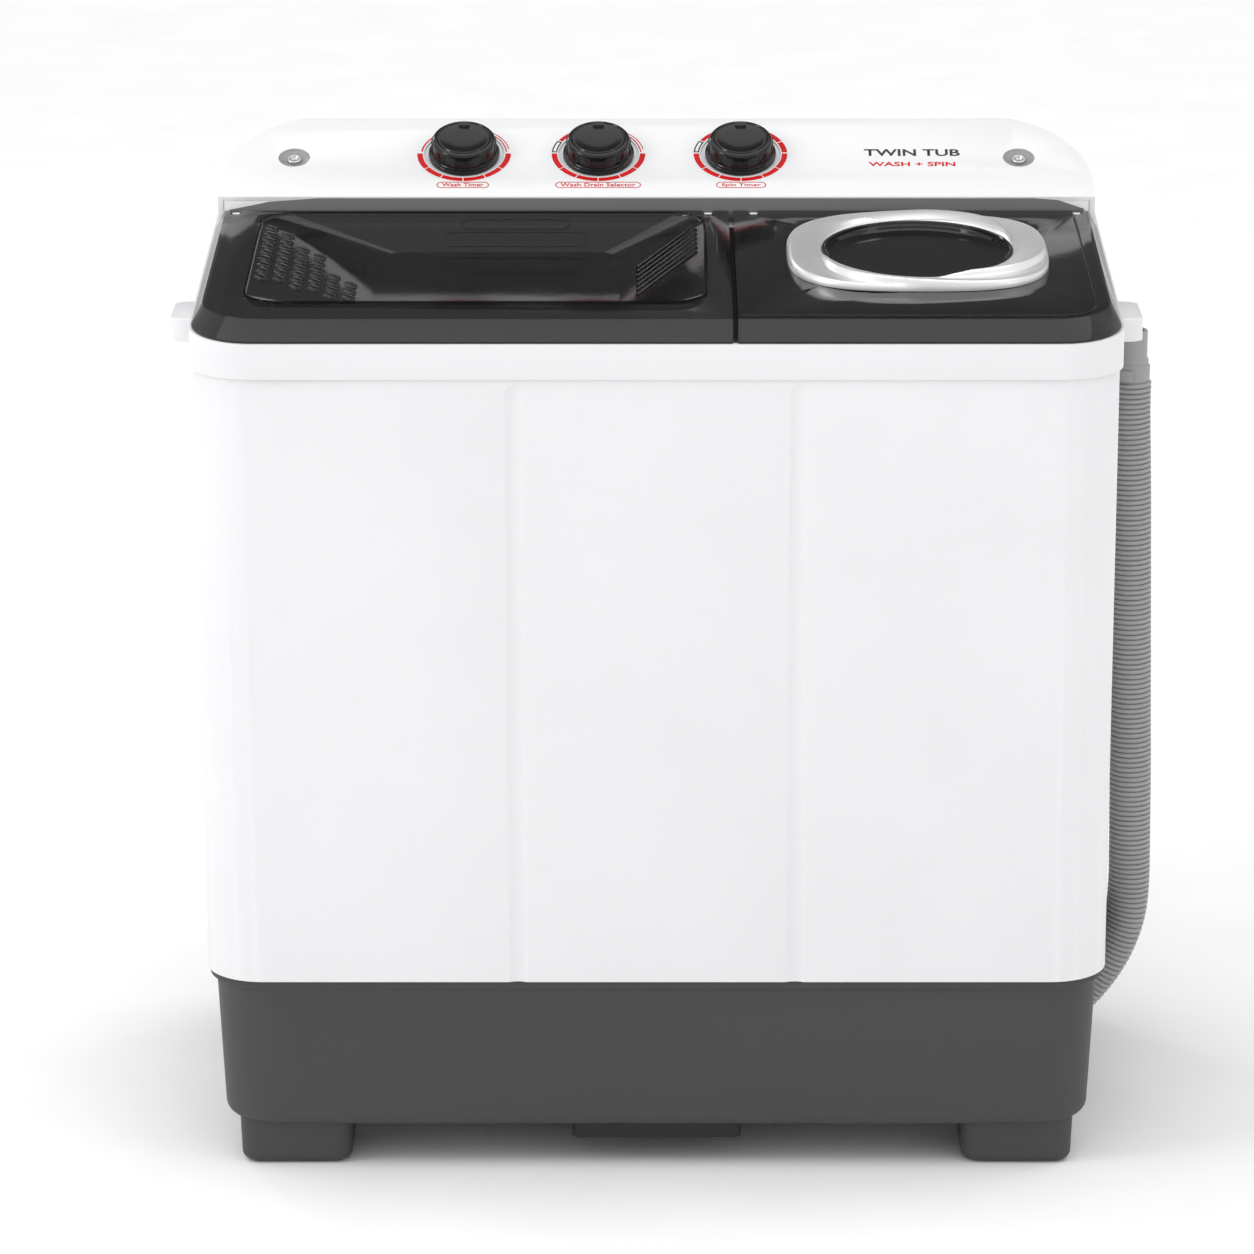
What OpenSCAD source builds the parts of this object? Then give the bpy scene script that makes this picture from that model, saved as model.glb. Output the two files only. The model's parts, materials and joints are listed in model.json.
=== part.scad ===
// Twin-tub washing machine: a wash tub with a pulsator on the left and a spin
// dryer on the right, in one cabinet. +X is to the right of a person who stands
// in front of it, +Y is towards its back and +Z is up. The origin is the middle
// of the rectangle that it covers on the floor.

/* [Cabinet] */
// Half of the cabinet's width
cabinet_half_w = 367; // [365:0.5:368]
// Front face of the cabinet
cabinet_front_y = -213; // [-213.5:0.5:-212]
// Rear face of the cabinet
cabinet_rear_y = 211; // [210:0.5:211]
// Height at which the cabinet's walls begin
cabinet_bottom_z = 167.5; // [166:0.5:170]
// Height at which the cabinet's walls end
cabinet_top_z = 676; // [674:0.5:680]
// Radius of the cabinet's upright corners
cabinet_corner_r = 48; // [46:1:50]
// Thickness of the moulded cabinet walls
wall = 3; // [2.5:0.5:3]
// Distance of the two pressed grooves from the middle
groove_x = 112; // [100:1:125]
// Width of a groove
groove_w = 15; // [12:1:18]
// Height of a groove's round top end
groove_top_z = 658; // [640:1:660]

/* [Base] */
// Half of the base tray's width
base_half_w = 357; // [355:0.5:358]
// Half of the base tray's depth
base_half_d = 205; // [203:0.5:206]
// Height of the legs with their pads
leg_h = 40; // [36:1:44]
// Thickness of a foot pad
pad_t = 4; // [3:0.5:6]
// Distance of the legs' middles from the machine's middle, left and right
leg_x = 296; // [290:1:300]
// Distance of the legs' middles from the machine's middle, front and back
leg_y = 150; // [145:1:155]

/* [Top frame and lids] */
// Half of the top frame's width
frame_half_w = 370; // [370:0.5:372]
// Half of the top frame's depth
frame_half_d = 215; // [215:0.5:216]
// Height of the frame's lower edge
frame_bottom_z = 670; // [668:0.5:672]
// Height of the deck at its front edge
deck_front_z = 698; // [696:0.5:700]
// Rise of the deck and the lids towards the back
lid_slope = 4.54; // [4:0.01:5]
// Front edge of the lids' flat tops
lid_fold_y = -197.7; // [-199:0.1:-196]
// Height of that edge
lid_fold_z = 714.9; // [714:0.1:716]
// Thickness of the lids' walls
lid_t = 2.5; // [2:0.5:3]
// Axis of the lids' hinges, front to back
hinge_y = 97; // [96:0.5:97.5]
// Reach of the side handles beyond the frame
handle_reach = 22; // [18:1:24]

/* [Control panel] */
// Front edge of the sloping panel
panel_front_y = 108; // [108:0.5:110]
// Height of that edge
panel_front_z = 748; // [747:0.5:750]
// Slope of the panel
panel_slope = 23.86; // [23:0.01:25]
// Length of the slope
panel_len = 113.7; // [112:0.1:115]
// Places of the three knobs, left to right
knob_x = [-162.6, -49, 71];
// Distance of the knobs from the panel's front edge, up the slope
knob_v = 62; // [60:0.5:64]
// Radius of a knob's skirt
knob_r = 30; // [28:0.5:31]
// Height of a knob above the panel
knob_h = 16.5; // [14:0.5:17]
// Distance of the two panel screws from the middle
screw_x = 306; // [300:1:308]

/* [Tubs and drive] */
// Middle of the wash tub and of its pulsator
wash_x = -159; // [-161:1:-158]
// Middle of the spin tub and of its basket
spin_x = 210; // [209:1:211]
// Middle of both tubs, front to back
tub_y = -49; // [-50:1:-48]
// Height of the wash tub's floor
wash_floor_z = 290; // [288:1:294]
// Height of the spin tub's floor
spin_floor_z = 318; // [316:1:322]
// Outer radius of the pulsator
pulsator_r = 125; // [110:1:128]
// Outer radius of the spin basket
basket_r = 120; // [110:1:122]
// Height of the spin basket
basket_h = 300; // [280:1:305]
// Groove radius of the large pulley
pulley_r = 88; // [80:1:90]
// Groove radius of the motor's pulley
motor_pulley_r = 22; // [18:1:24]
// Radius of the rotating shafts
shaft_r = 8; // [7:0.5:9]

/* [Drain] */
// Outer diameter of the corrugated drain hose
hose_d = 35; // [33:0.5:36]
// Front-to-back place of the drain hose
hose_y = 10; // [8:1:12]

/* [Hidden] */
$fn = 64;
far = 900;
play = 0.05;
gap = 0.4;
white = [0.93, 0.93, 0.94];
panel_white = [0.9, 0.9, 0.91];
base_grey = [0.3, 0.3, 0.31];
smoke = [0.13, 0.13, 0.14, 0.7];
inner_grey = [0.78, 0.8, 0.82];
steel = [0.66, 0.67, 0.69];
black = [0.08, 0.08, 0.08];
hose_grey = [0.56, 0.56, 0.57];

base_floor_z = leg_h + 3;
base_rim_z = 157;
leg_w = 92;
leg_d = 80;
leg_r = 12;
deck_t = 4;
deck_rise = tan(lid_slope);
hinge_r = 7.6;
hinge_z = lid_fold_z + (hinge_y - lid_fold_y) * deck_rise - hinge_r / cos(lid_slope);
pin_r = 3;
ear_w = 6;
wash_in = [378, 286, 70];
spin_in = [284, 282, 90];
tub_t = 4;
tub_split_x = 49;
wash_split_x = 60;
spin_split_x = 64;
lid_half_w = frame_half_w - 2;
pan_x = -144;
pan_in = [368, 246, 30];
pan_floor = [200, 200, 26];
pan_depth = 28;
ring_x = 212;
ring_v = 170;
ring_h = 12;
window_r = 79;
recess_r = 34;
recess_t = 2;
belt_t = 6;
belt_z = 214;
motor_x = -289;
motor_y = 26;
belt_span = norm([motor_x - wash_x, motor_y - tub_y]);
belt_turn = atan2(motor_y - tub_y, motor_x - wash_x);
basket_z = spin_floor_z + 27;
brake_z = 240;
brake_r = 48;
brake_gap = 3.7;
brake_pivot = [spin_x + brake_r + 9, tub_y - 52];
spring_radius = 80;
spring_angles = [90, 210, 330];
valve_x = knob_x[1];
valve_y = 150;
valve_z = 240;
drain_r = 11.5;
inlet_x = -250;
inlet_z = 757;
gland_x = -250;
gland_z = 560;
overflow_x = -120;
overflow_z = 640;
hose_top_z = 615;
hose_route = [
  [391.5, hose_y, 615], [391.5, hose_y, 590], [392.7, hose_y, 555], [394, hose_y, 515],
  [395, hose_y, 475], [396, hose_y, 435], [397, hose_y, 395], [398, hose_y, 355],
  [399, hose_y, 315], [400, hose_y, 275], [400.5, hose_y, 240], [401, hose_y, 205],
  [401, hose_y, 175], [399, hose_y, 151], [392.5, hose_y, 127], [382, hose_y, 105],
  [368, hose_y, 85], [356.5, hose_y, 72.5], [349, hose_y, 66]
];
hose_end = hose_route[len(hose_route) - 1];
hose_top = hose_route[0];

// Rectangle with round corners, about the origin: size is [width, depth, radius].
module rounded(size) {
  w = size[0];
  d = size[1];
  r = size[2];
  square([w - 2 * r, d], center = true);
  square([w, d - 2 * r], center = true);
  for (sx = [-1, 1], sy = [-1, 1])
    translate([sx * (w / 2 - r), sy * (d / 2 - r)]) circle(r);
}

// Upright block with round corners, from height z.
module block(size, x, y, z, h) {
  translate([x, y, z]) linear_extrude(h) rounded(size);
}

// The same size, smaller by t all round.
function inset(size, t) = [size[0] - 2 * t, size[1] - 2 * t, size[2] - t];

// Everything under the deck's plane, which is lowered by drop.
module under_deck(drop) {
  translate([0, -frame_half_d, deck_front_z - drop / cos(lid_slope)])
    rotate([lid_slope, 0, 0])
      translate([-far, -far, -2 * far]) cube(2 * far);
}

function deck_z(y) = deck_front_z + (y + frame_half_d) * deck_rise;

// Places a shape on the lids' top: x across, v back from the fold, w up.
module on_lid(x, v) {
  translate([x, lid_fold_y, lid_fold_z]) rotate([lid_slope, 0, 0])
    translate([0, v, 0]) children();
}

// Places a shape on the panel's slope: x across, v up from its front edge.
module on_panel(x, v) {
  translate([x, panel_front_y, panel_front_z]) rotate([panel_slope, 0, 0])
    translate([0, v, 0]) children();
}

// Extrudes a profile, drawn as [y, z], along X from x0 to x1.
module along_x(x0, x1) {
  translate([x0, 0, 0]) rotate([90, 0, 90]) linear_extrude(x1 - x0) children();
}

module rod_x(x0, x1, y, z, r) {
  translate([x0, y, z]) rotate([0, 90, 0]) cylinder(h = x1 - x0, r = r);
}

module rod_y(x, y0, y1, z, r) {
  translate([x, y0, z]) rotate([-90, 0, 0]) cylinder(h = y1 - y0, r = r);
}

// Rigid pipe or lead through the given points.
module pipe(points, r) {
  for (i = [0 : len(points) - 2]) {
    step = points[i + 1] - points[i];
    translate(points[i])
      rotate([0, acos(step[2] / norm(step)), atan2(step[1], step[0])])
        cylinder(h = norm(step), r = r, $fn = 32);
    if (i > 0) translate(points[i]) sphere(r + 0.5, $fn = 32);
  }
}

// Round bar swept along a path; up is a direction that the path never follows.
function unit(v) = v / norm(v);
function path_way(path, i) =
  unit(path[min(i + 1, len(path) - 1)] - path[max(i - 1, 0)]);
function ring_points(path, i, r, sides, up) =
  let (t = path_way(path, i), n = unit(cross(t, up)), b = cross(n, t))
  [for (k = [0 : sides - 1])
    path[i] + r * (cos(360 * k / sides) * n + sin(360 * k / sides) * b)];
module swept(path, r, sides, up) {
  rings = len(path);
  points = [for (i = [0 : rings - 1]) each ring_points(path, i, r, sides, up)];
  sides_faces = [
    for (i = [0 : rings - 2], k = [0 : sides - 1])
      let (a = i * sides + k, b = i * sides + (k + 1) % sides)
      each [[a, b, b + sides], [a, b + sides, a + sides]]
  ];
  first = [for (k = [0 : sides - 1]) sides - 1 - k];
  last = [for (k = [0 : sides - 1]) (rings - 1) * sides + k];
  polyhedron(points, concat(sides_faces, [first], [last]));
}

// Screw with a round head, pointing down, its head's underside at the origin.
module screw(head_r, head_h, r, length) {
  cylinder(h = head_h, r = head_r, $fn = 32);
  translate([0, 0, -length]) cylinder(h = length, r = r, $fn = 32);
}

// ------------------------------------------------------------ base and cabinet

module base() {
  outer = [2 * base_half_w, 2 * base_half_d, 46];
  rim = [2 * cabinet_half_w - 4, 2 * base_half_d + 8, 48];
  color(base_grey) difference() {
    union() {
      difference() {
        union() {
          block(outer, 0, 0, leg_h, base_rim_z - leg_h);
          block(rim, 0, 0, base_rim_z, cabinet_bottom_z - base_rim_z);
        }
        block(inset(outer, wall), 0, 0, base_floor_z, far);
      }
      spring_cups();
    }
    translate(hose_end)
      rotate([0, 49, 0]) translate([0, 0, -5]) cylinder(h = 60, r = hose_d / 2 + 2);
    translate([-50, -170, leg_h - 1]) cube([100, 200, 8]);
  }
}

module base_legs() {
  leg = [leg_w, leg_d, leg_r];
  color(base_grey)
    for (sx = [-1, 1], sy = [-1, 1])
      difference() {
        block(leg, sx * leg_x, sy * leg_y, pad_t, leg_h - pad_t);
        block(inset(leg, 4), sx * leg_x, sy * leg_y, 0, leg_h + 1);
      }
}

module foot_pads() {
  pad = [leg_w - 8, leg_d - 8, leg_r - 2];
  color(black)
    for (sx = [-1, 1], sy = [-1, 1])
      block(pad, sx * leg_x, sy * leg_y, 0, pad_t);
}

module bottom_cover() {
  shell = [138, 230, 6];
  color(black) difference() {
    block(shell, 0, -78, leg_h - 16, 16);
    block(inset(shell, wall), 0, -78, leg_h - 16 + wall, 16);
    for (i = [0 : 6])
      translate([-45, -160 + 25 * i, 0]) cube([90, 8, leg_h - 8]);
  }
}

module groove_cut(x) {
  translate([x - groove_w / 2, cabinet_front_y - 1, cabinet_bottom_z - 1])
    cube([groove_w, 3, groove_top_z - cabinet_bottom_z + 1]);
  rod_y(x, cabinet_front_y - 1, cabinet_front_y + 2, groove_top_z, groove_w / 2);
}

module cabinet() {
  depth = cabinet_rear_y - cabinet_front_y;
  mid_y = (cabinet_rear_y + cabinet_front_y) / 2;
  outer = [2 * cabinet_half_w, depth, cabinet_corner_r];
  rib = groove_w + 10;
  h = cabinet_top_z - cabinet_bottom_z;
  color(white) difference() {
    union() {
      difference() {
        block(outer, 0, mid_y, cabinet_bottom_z, h);
        block(inset(outer, wall), 0, mid_y, 0, far);
      }
      for (x = [-groove_x, groove_x])
        translate([x - rib / 2, cabinet_front_y + wall - 0.5, cabinet_bottom_z])
          cube([rib, 2.5, groove_top_z + 14 - cabinet_bottom_z]);
    }
    for (x = [-groove_x, groove_x]) groove_cut(x);
    translate([-285, cabinet_rear_y - 10, 205]) cube([570, 20, 430]);
  }
}

module rear_cover() {
  color(inner_grey) difference() {
    union() {
      translate([-300, cabinet_rear_y, 190]) cube([600, 2.5, 460]);
      translate([-284, cabinet_rear_y - 6, 206]) cube([568, 6, 428]);
    }
    translate([-281, cabinet_rear_y - 7, 209]) cube([562, 7, 422]);
    for (side = [-1, 1], i = [0 : 9])
      translate([side * 150 - 70, cabinet_rear_y - 1, 260 + 16 * i])
        cube([140, 5, 6]);
    rod_y(gland_x, cabinet_rear_y - 1, cabinet_rear_y + 4, gland_z, 9.2);
    for (x = [-292.5, 292.5], z = [215, 420, 625])
      rod_y(x, cabinet_rear_y - 1, cabinet_rear_y + 4, z, 1.8);
  }
}

// Grommet that the mains lead would pass through.
module cord_gland() {
  y = cabinet_rear_y + 2.5;
  color(black) difference() {
    union() {
      rod_y(gland_x, y, y + 1.5, gland_z, 13);
      rod_y(gland_x, y - 9, y, gland_z, 9);
    }
    rod_y(gland_x, y - 10, y + 2, gland_z, 4);
  }
}

// ------------------------------------------------------------------- top frame

module handle(side) {
  outer = [2 * handle_reach, 100, 14];
  difference() {
    block(outer, side * frame_half_w, -60, 656, 34);
    block(inset(outer, wall), side * frame_half_w, -60, 650, 37);
    translate([side > 0 ? -far : -frame_half_w, -far, 0])
      cube([far + frame_half_w, 2 * far, far]);
  }
}

module side_handles() {
  color(white) {
    handle(-1);
    handle(1);
  }
}

module hinge_ear(x) {
  rod_x(x, x + ear_w, hinge_y, hinge_z, 6);
  translate([x, hinge_y - 6, deck_z(hinge_y) - 2])
    cube([ear_w, 12, hinge_z - deck_z(hinge_y) + 2]);
}

ear_x = [-354, 40, 78, 348];
cover_y = 79;
cover_z = deck_z(cover_y) - 6;
cover_pin_x = 92;

module top_frame() {
  outer = [2 * frame_half_w, 2 * frame_half_d, 52];
  inner = [2 * cabinet_half_w + gap, cabinet_rear_y - cabinet_front_y + gap,
    cabinet_corner_r];
  mid_y = (cabinet_rear_y + cabinet_front_y) / 2;
  color(white) difference() {
    union() {
      difference() {
        intersection() {
          block(outer, 0, 0, frame_bottom_z, 100);
          under_deck(0);
        }
        intersection() {
          block(inner, 0, mid_y, frame_bottom_z - 1, 100);
          under_deck(deck_t);
        }
        block(wash_in, wash_x, tub_y, 0, far);
        block(spin_in, spin_x, tub_y, 0, far);
        translate([-330, 125, 0]) cube([660, 75, far]);
      }
      for (x = ear_x) hinge_ear(x);
      for (side = [-1, 1])
        translate([spin_x + side * (cover_pin_x + 1) - 4, cover_y - 5, cover_z - 6])
          cube([8, 18, 10]);
    }
    for (x = ear_x) rod_x(x - 1, x + ear_w + 1, hinge_y, hinge_z, pin_r + play);
    rod_x(spin_x - cover_pin_x - 1, spin_x + cover_pin_x + 1, cover_y, cover_z,
      2.5 + play);
  }
}

// --------------------------------------------------------------- control panel

module panel_outline(t) {
  w = 2 * (frame_half_w - 3 - t);
  r = 90 - t;
  d = frame_half_d - panel_front_y - 2 * t;
  translate([-w / 2, panel_front_y + t]) square([w, d - r]);
  translate([-w / 2 + r, panel_front_y + t]) square([w - 2 * r, d]);
  for (side = [-1, 1])
    translate([side * (w / 2 - r), panel_front_y + t + d - r]) circle(r);
}

module panel_solid(t) {
  rear_z = panel_front_z + panel_len * sin(panel_slope);
  rear_y = panel_front_y + panel_len * cos(panel_slope);
  lift = t / cos(panel_slope);
  profile = [
    [panel_front_y, deck_z(panel_front_y) - t], [frame_half_d, deck_z(frame_half_d) - t],
    [frame_half_d, rear_z - 3 - lift], [rear_y, rear_z - lift],
    [panel_front_y, panel_front_z - lift]
  ];
  intersection() {
    along_x(-frame_half_w, frame_half_w) polygon(profile);
    translate([0, 0, 600]) linear_extrude(300) panel_outline(t);
  }
}

module control_panel() {
  color(panel_white) difference() {
    union() {
      difference() {
        panel_solid(0);
        panel_solid(wall);
      }
      for (x = knob_x) on_panel(x, knob_v) translate([0, 0, -5])
        cylinder(h = 4, r = recess_r + 4);
      for (x = [-screw_x, screw_x]) on_panel(x, 56.5) translate([0, 0, -7])
        cylinder(h = 6, r = 16);
      rod_y(inlet_x, 187, frame_half_d - 1, inlet_z, 22);
    }
    for (x = knob_x) on_panel(x, knob_v) {
      translate([0, 0, -recess_t]) cylinder(h = 20, r = recess_r);
      translate([0, 0, -20]) cylinder(h = 30, r = 5.2);
    }
    for (x = [-screw_x, screw_x]) on_panel(x, 56.5) {
      translate([0, 0, -4]) cylinder(h = 20, r = 13.3);
      translate([0, 0, -20]) cylinder(h = 30, r = 2.2);
    }
    rod_y(inlet_x, 190, frame_half_d + 1, inlet_z, 19.5);
    rod_y(inlet_x, 180, frame_half_d, inlet_z, 8.2);
  }
}

// The two screws of the control panel and the six of the rear cover.
module panel_screws() {
  color(steel) {
    for (x = [-screw_x, screw_x]) on_panel(x, 56.5) translate([0, 0, -4])
      difference() {
        union() {
          cylinder(h = 1.2, r = 8);
          screw(5, 3.2, 2.2, 3);
        }
        translate([0, 0, 2.2]) cylinder(h = 2, r = 2, $fn = 6);
      }
    for (x = [-292.5, 292.5], z = [215, 420, 625])
      translate([x, cabinet_rear_y + 2.5, z]) rotate([-90, 0, 0])
        screw(4.5, 1.5, 1.8, 2.5);
  }
}

// Switch body under the panel, with the bush that holds its shaft.
module switch_body(x, size, h) {
  on_panel(x, knob_v) difference() {
    union() {
      translate([0, 0, -5 - h]) linear_extrude(h) rounded(size);
      translate([0, 0, -5]) cylinder(h = 3, r = 5);
    }
    translate([0, 0, -20]) cylinder(h = 30, r = 3 + play);
  }
}

module wash_timer() {
  color(inner_grey) switch_body(knob_x[0], [58, 50, 8], 27);
}

module drain_selector() {
  color(steel) switch_body(knob_x[1], [40, 34, 4], 22);
}

module spin_timer() {
  color(inner_grey) switch_body(knob_x[2], [50, 44, 8], 25);
}

module control_shaft(x) {
  color(steel) on_panel(x, knob_v) translate([0, 0, -19]) cylinder(h = 30, r = 3);
}

module wash_timer_shaft() {
  control_shaft(knob_x[0]);
}

module selector_shaft() {
  control_shaft(knob_x[1]);
}

module spin_timer_shaft() {
  control_shaft(knob_x[2]);
}

module knob(x) {
  low = -recess_t + 0.6;
  color(black) on_panel(x, knob_v) difference() {
    union() {
      translate([0, 0, low]) cylinder(h = 3.5, r = knob_r);
      translate([0, 0, low]) cylinder(h = knob_h - low, r = knob_r - 3.2);
      for (a = [0 : 15 : 345])
        rotate(a) translate([knob_r - 3.2, 0, low]) cylinder(h = 12, r = 1.2, $fn = 24);
    }
    translate([0, 0, low - 1]) cylinder(h = 12 - low, r = 3);
    translate([-3, knob_r - 9, knob_h - 1.5]) cube([6, 12, 3]);
    translate([0, 0, knob_h - 0.6]) difference() {
      cylinder(h = 2, r = 23.2);
      cylinder(h = 2, r = 22.4);
    }
  }
}

module wash_timer_knob() {
  knob(knob_x[0]);
}

module selector_knob() {
  knob(knob_x[1]);
}

module spin_timer_knob() {
  knob(knob_x[2]);
}

// ------------------------------------------------------------------------ lids

module lid_outline(x0, x1, t) {
  intersection() {
    translate([0, 100 - frame_half_d + 1]) rounded([2 * (lid_half_w - t), 200, 50]);
    translate([x0 + t, -frame_half_d - 1]) square([x1 - x0 - 2 * t, 200]);
  }
  translate([x0 + t, -100]) square([x1 - x0 - 2 * t, hinge_y + 100]);
}

module lid_solid(x0, x1, t) {
  lift = t / cos(lid_slope);
  lip = t > 0 ? -10 : gap;
  front = 1 - frame_half_d + t;
  profile = [
    [front, deck_z(front) + lip], [hinge_y, deck_z(hinge_y) + lip],
    [hinge_y, lid_fold_z + (hinge_y - lid_fold_y) * deck_rise - lift],
    [lid_fold_y + t / 3, lid_fold_z - lift], [front, deck_z(front) + 2 - lift / 2]
  ];
  intersection() {
    along_x(x0, x1) polygon(profile);
    translate([0, 0, 600]) linear_extrude(300) lid_outline(x0, x1, t);
  }
}

module lid_shell(x0, x1, ears) {
  difference() {
    union() {
      difference() {
        lid_solid(x0, x1, 0);
        lid_solid(x0, x1, lid_t);
      }
      rod_x(x0, x1, hinge_y, hinge_z, hinge_r);
    }
    for (x = ears) {
      rod_x(x - 6, x + ear_w + 6, hinge_y, hinge_z, pin_r);
      translate([x - 1, hinge_y - 9, hinge_z - 20]) cube([ear_w + 2, 30, 40]);
    }
  }
}

module pan_form(grow, floor_w) {
  opening = [pan_in[0] + 2 * grow, pan_in[1] + 2 * grow, pan_in[2] + grow];
  bottom = [pan_floor[0] + 2 * grow, pan_floor[1] + 2 * grow, pan_floor[2] + grow];
  hull() {
    linear_extrude(0.01) rounded(opening, $fn = 32);
    translate([14, 6, floor_w]) linear_extrude(0.01) rounded(bottom, $fn = 32);
  }
}

module wash_lid() {
  pan_v = 163;
  color(smoke) difference() {
    union() {
      lid_shell(-lid_half_w, wash_split_x, [ear_x[0], ear_x[1]]);
      on_lid(pan_x, pan_v) translate([0, 0, -1]) pan_form(lid_t, -pan_depth + 1);
    }
    on_lid(pan_x, pan_v) pan_form(0, -pan_depth + lid_t);
    on_lid(pan_x, pan_v) translate([0, 0, -0.2]) linear_extrude(5) rounded(pan_in);
  }
}

module lid_pins(ears) {
  color(steel) for (x = ears) rod_x(x - 6, x + ear_w + 6, hinge_y, hinge_z, pin_r);
}

module wash_lid_pins() {
  lid_pins([ear_x[0], ear_x[1]]);
}

module spin_lid() {
  color(smoke) difference() {
    lid_shell(spin_split_x, lid_half_w, [ear_x[2], ear_x[3]]);
    on_lid(ring_x, ring_v) translate([0, 0, -10]) cylinder(h = 20, r = window_r + 0.2);
  }
}

module spin_lid_pins() {
  lid_pins([ear_x[2], ear_x[3]]);
}

module spin_lid_ring() {
  color(steel) on_lid(ring_x, ring_v) difference() {
    linear_extrude(ring_h) rounded([212, 198, 86]);
    translate([0, 0, -1]) cylinder(h = ring_h + 2, r = window_r - 2);
    translate([0, 0, ring_h - 4]) cylinder(h = 10, r1 = window_r - 2, r2 = window_r + 12);
  }
}

module spin_lid_window() {
  color(smoke) on_lid(ring_x, ring_v) translate([0, 0, -lid_t])
    cylinder(h = lid_t, r = window_r);
}

module spin_inner_cover() {
  color(inner_grey) difference() {
    union() {
      intersection() {
        block([spin_in[0] - 22, 250, 74], spin_x, cover_y - 125, 600, 200);
        difference() {
          under_deck(4.4);
          under_deck(7.4);
        }
      }
      rod_x(spin_x - 88, spin_x + 88, cover_y, cover_z, 3.5);
      rod_x(spin_x - cover_pin_x, spin_x + cover_pin_x, cover_y, cover_z, 2.5);
    }
    block([70, 26, 12], spin_x, tub_y - 85, 600, 200);
  }
}

// ------------------------------------------------------------------------ tubs

// Tub with its flange, from flange_x0 to flange_x1: inside is [width, depth, radius].
module tub(inside, x, floor_z, flange_x0, flange_x1) {
  flange = [2 * cabinet_half_w - 2 * wall - 4, 308, 44];
  difference() {
    union() {
      intersection() {
        block(inset(inside, -tub_t), x, tub_y, floor_z - tub_t, 500);
        under_deck(deck_t);
      }
      difference() {
        intersection() {
          block(flange, 0, tub_y, 600, 200);
          under_deck(deck_t);
          translate([flange_x0, -far, 0]) cube([flange_x1 - flange_x0, 2 * far, far]);
        }
        under_deck(deck_t + 3);
      }
    }
    block(inside, x, tub_y, floor_z, far);
  }
}

module wash_tub() {
  color(inner_grey) difference() {
    tub(wash_in, wash_x, wash_floor_z, -cabinet_half_w, tub_split_x);
    translate([wash_x, tub_y, 200]) cylinder(h = 120, r = 20.2);
    translate([valve_x, 60, 200]) cylinder(h = 120, r = 12);
    rod_y(inlet_x, 80, 120, 690, 8.2);
    rod_y(overflow_x, 80, 120, overflow_z, 9);
  }
}

module spin_tub() {
  color(inner_grey) difference() {
    tub(spin_in, spin_x, spin_floor_z, tub_split_x, cabinet_half_w);
    translate([spin_x, tub_y, 300]) cylinder(h = 40, r = 45.2);
    translate([120, 55, 300]) cylinder(h = 40, r = 11);
  }
}

module filter_duct() {
  x1 = wash_x + wash_in[0] / 2;
  color(inner_grey) difference() {
    translate([x1 - 18, -100, 312]) cube([18, 90, 328]);
    translate([x1 - 15.5, -97.5, 310]) cube([20, 85, 328]);
    translate([x1 - 20, -85, 515]) cube([10, 60, 90]);
    for (i = [0 : 5])
      translate([x1 - 20, -90 + 14 * i, 330]) cube([10, 6, 60]);
  }
}

module lint_filter() {
  x1 = wash_x + wash_in[0] / 2;
  color([0.35, 0.55, 0.75]) difference() {
    union() {
      translate([x1 - 30, -88, 512]) cube([11.5, 66, 96]);
      translate([x1 - 19, -84.5, 515.5]) cube([8, 59, 89]);
    }
    translate([x1 - 27.5, -85, 515]) cube([6, 60, 90]);
    translate([x1 - 22, -82, 518]) cube([15, 54, 84]);
    for (i = [0 : 5])
      translate([x1 - 31, -84 + 10 * i, 520]) cube([5, 6, 80]);
  }
}

module inlet_connector() {
  color(white) difference() {
    union() {
      rod_y(inlet_x, 190, 193, inlet_z, 18);
      rod_y(inlet_x, 193, 212, inlet_z, 13);
    }
    rod_y(inlet_x, 189, 213, inlet_z, 8);
  }
}

module inlet_spout() {
  points = [[inlet_x, 190, inlet_z], [inlet_x, 172, inlet_z], [inlet_x, 172, 690],
    [inlet_x, 82, 690]];
  color(inner_grey) difference() {
    pipe(points, 8);
    pipe([[inlet_x, 192, inlet_z], points[1], points[2], [inlet_x, 80, 690]], 6);
  }
}

// ------------------------------------------------------------------ wash drive

module pulsator() {
  color([0.55, 0.65, 0.75]) translate([wash_x, tub_y, 0]) difference() {
    union() {
      translate([0, 0, wash_floor_z + 5]) cylinder(h = 5, r = pulsator_r);
      translate([0, 0, wash_floor_z + 5]) cylinder(h = 12, r1 = 70, r2 = 40);
      translate([0, 0, wash_floor_z + 5]) cylinder(h = 28, r1 = 30, r2 = 22);
      for (a = [0 : 60 : 300])
        rotate(a) intersection() {
          rod_x(20, pulsator_r - 6, 0, wash_floor_z + 10, 12);
          translate([0, -20, wash_floor_z + 7]) cube([pulsator_r, 40, 30]);
        }
    }
    translate([0, 0, 280]) cylinder(h = 30, r = shaft_r);
    translate([0, 0, 280]) cylinder(h = 60, r = 2.5);
    for (a = [30 : 60 : 330], q = [60, 80, 100])
      rotate(a) translate([q, 0, 280]) cylinder(h = 60, r = 3, $fn = 24);
  }
}

module pulsator_screw() {
  color(steel) translate([wash_x, tub_y, wash_floor_z + 33]) screw(9, 3, 2.5, 30);
}

module pulsator_shaft() {
  color(steel) translate([wash_x, tub_y, 196]) difference() {
    cylinder(h = 114, r = shaft_r);
    translate([0, 0, 90]) cylinder(h = 30, r = 2.5);
  }
}

// Belt pulley about the origin, its groove's middle at height 0.
module pulley(groove_r, bore_r) {
  rotate_extrude() difference() {
    translate([bore_r, -9]) square([groove_r + 6 - bore_r, 18]);
    polygon([[groove_r, -3], [groove_r, 3], [groove_r + 7, 6], [groove_r + 7, -6]]);
  }
}

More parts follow.
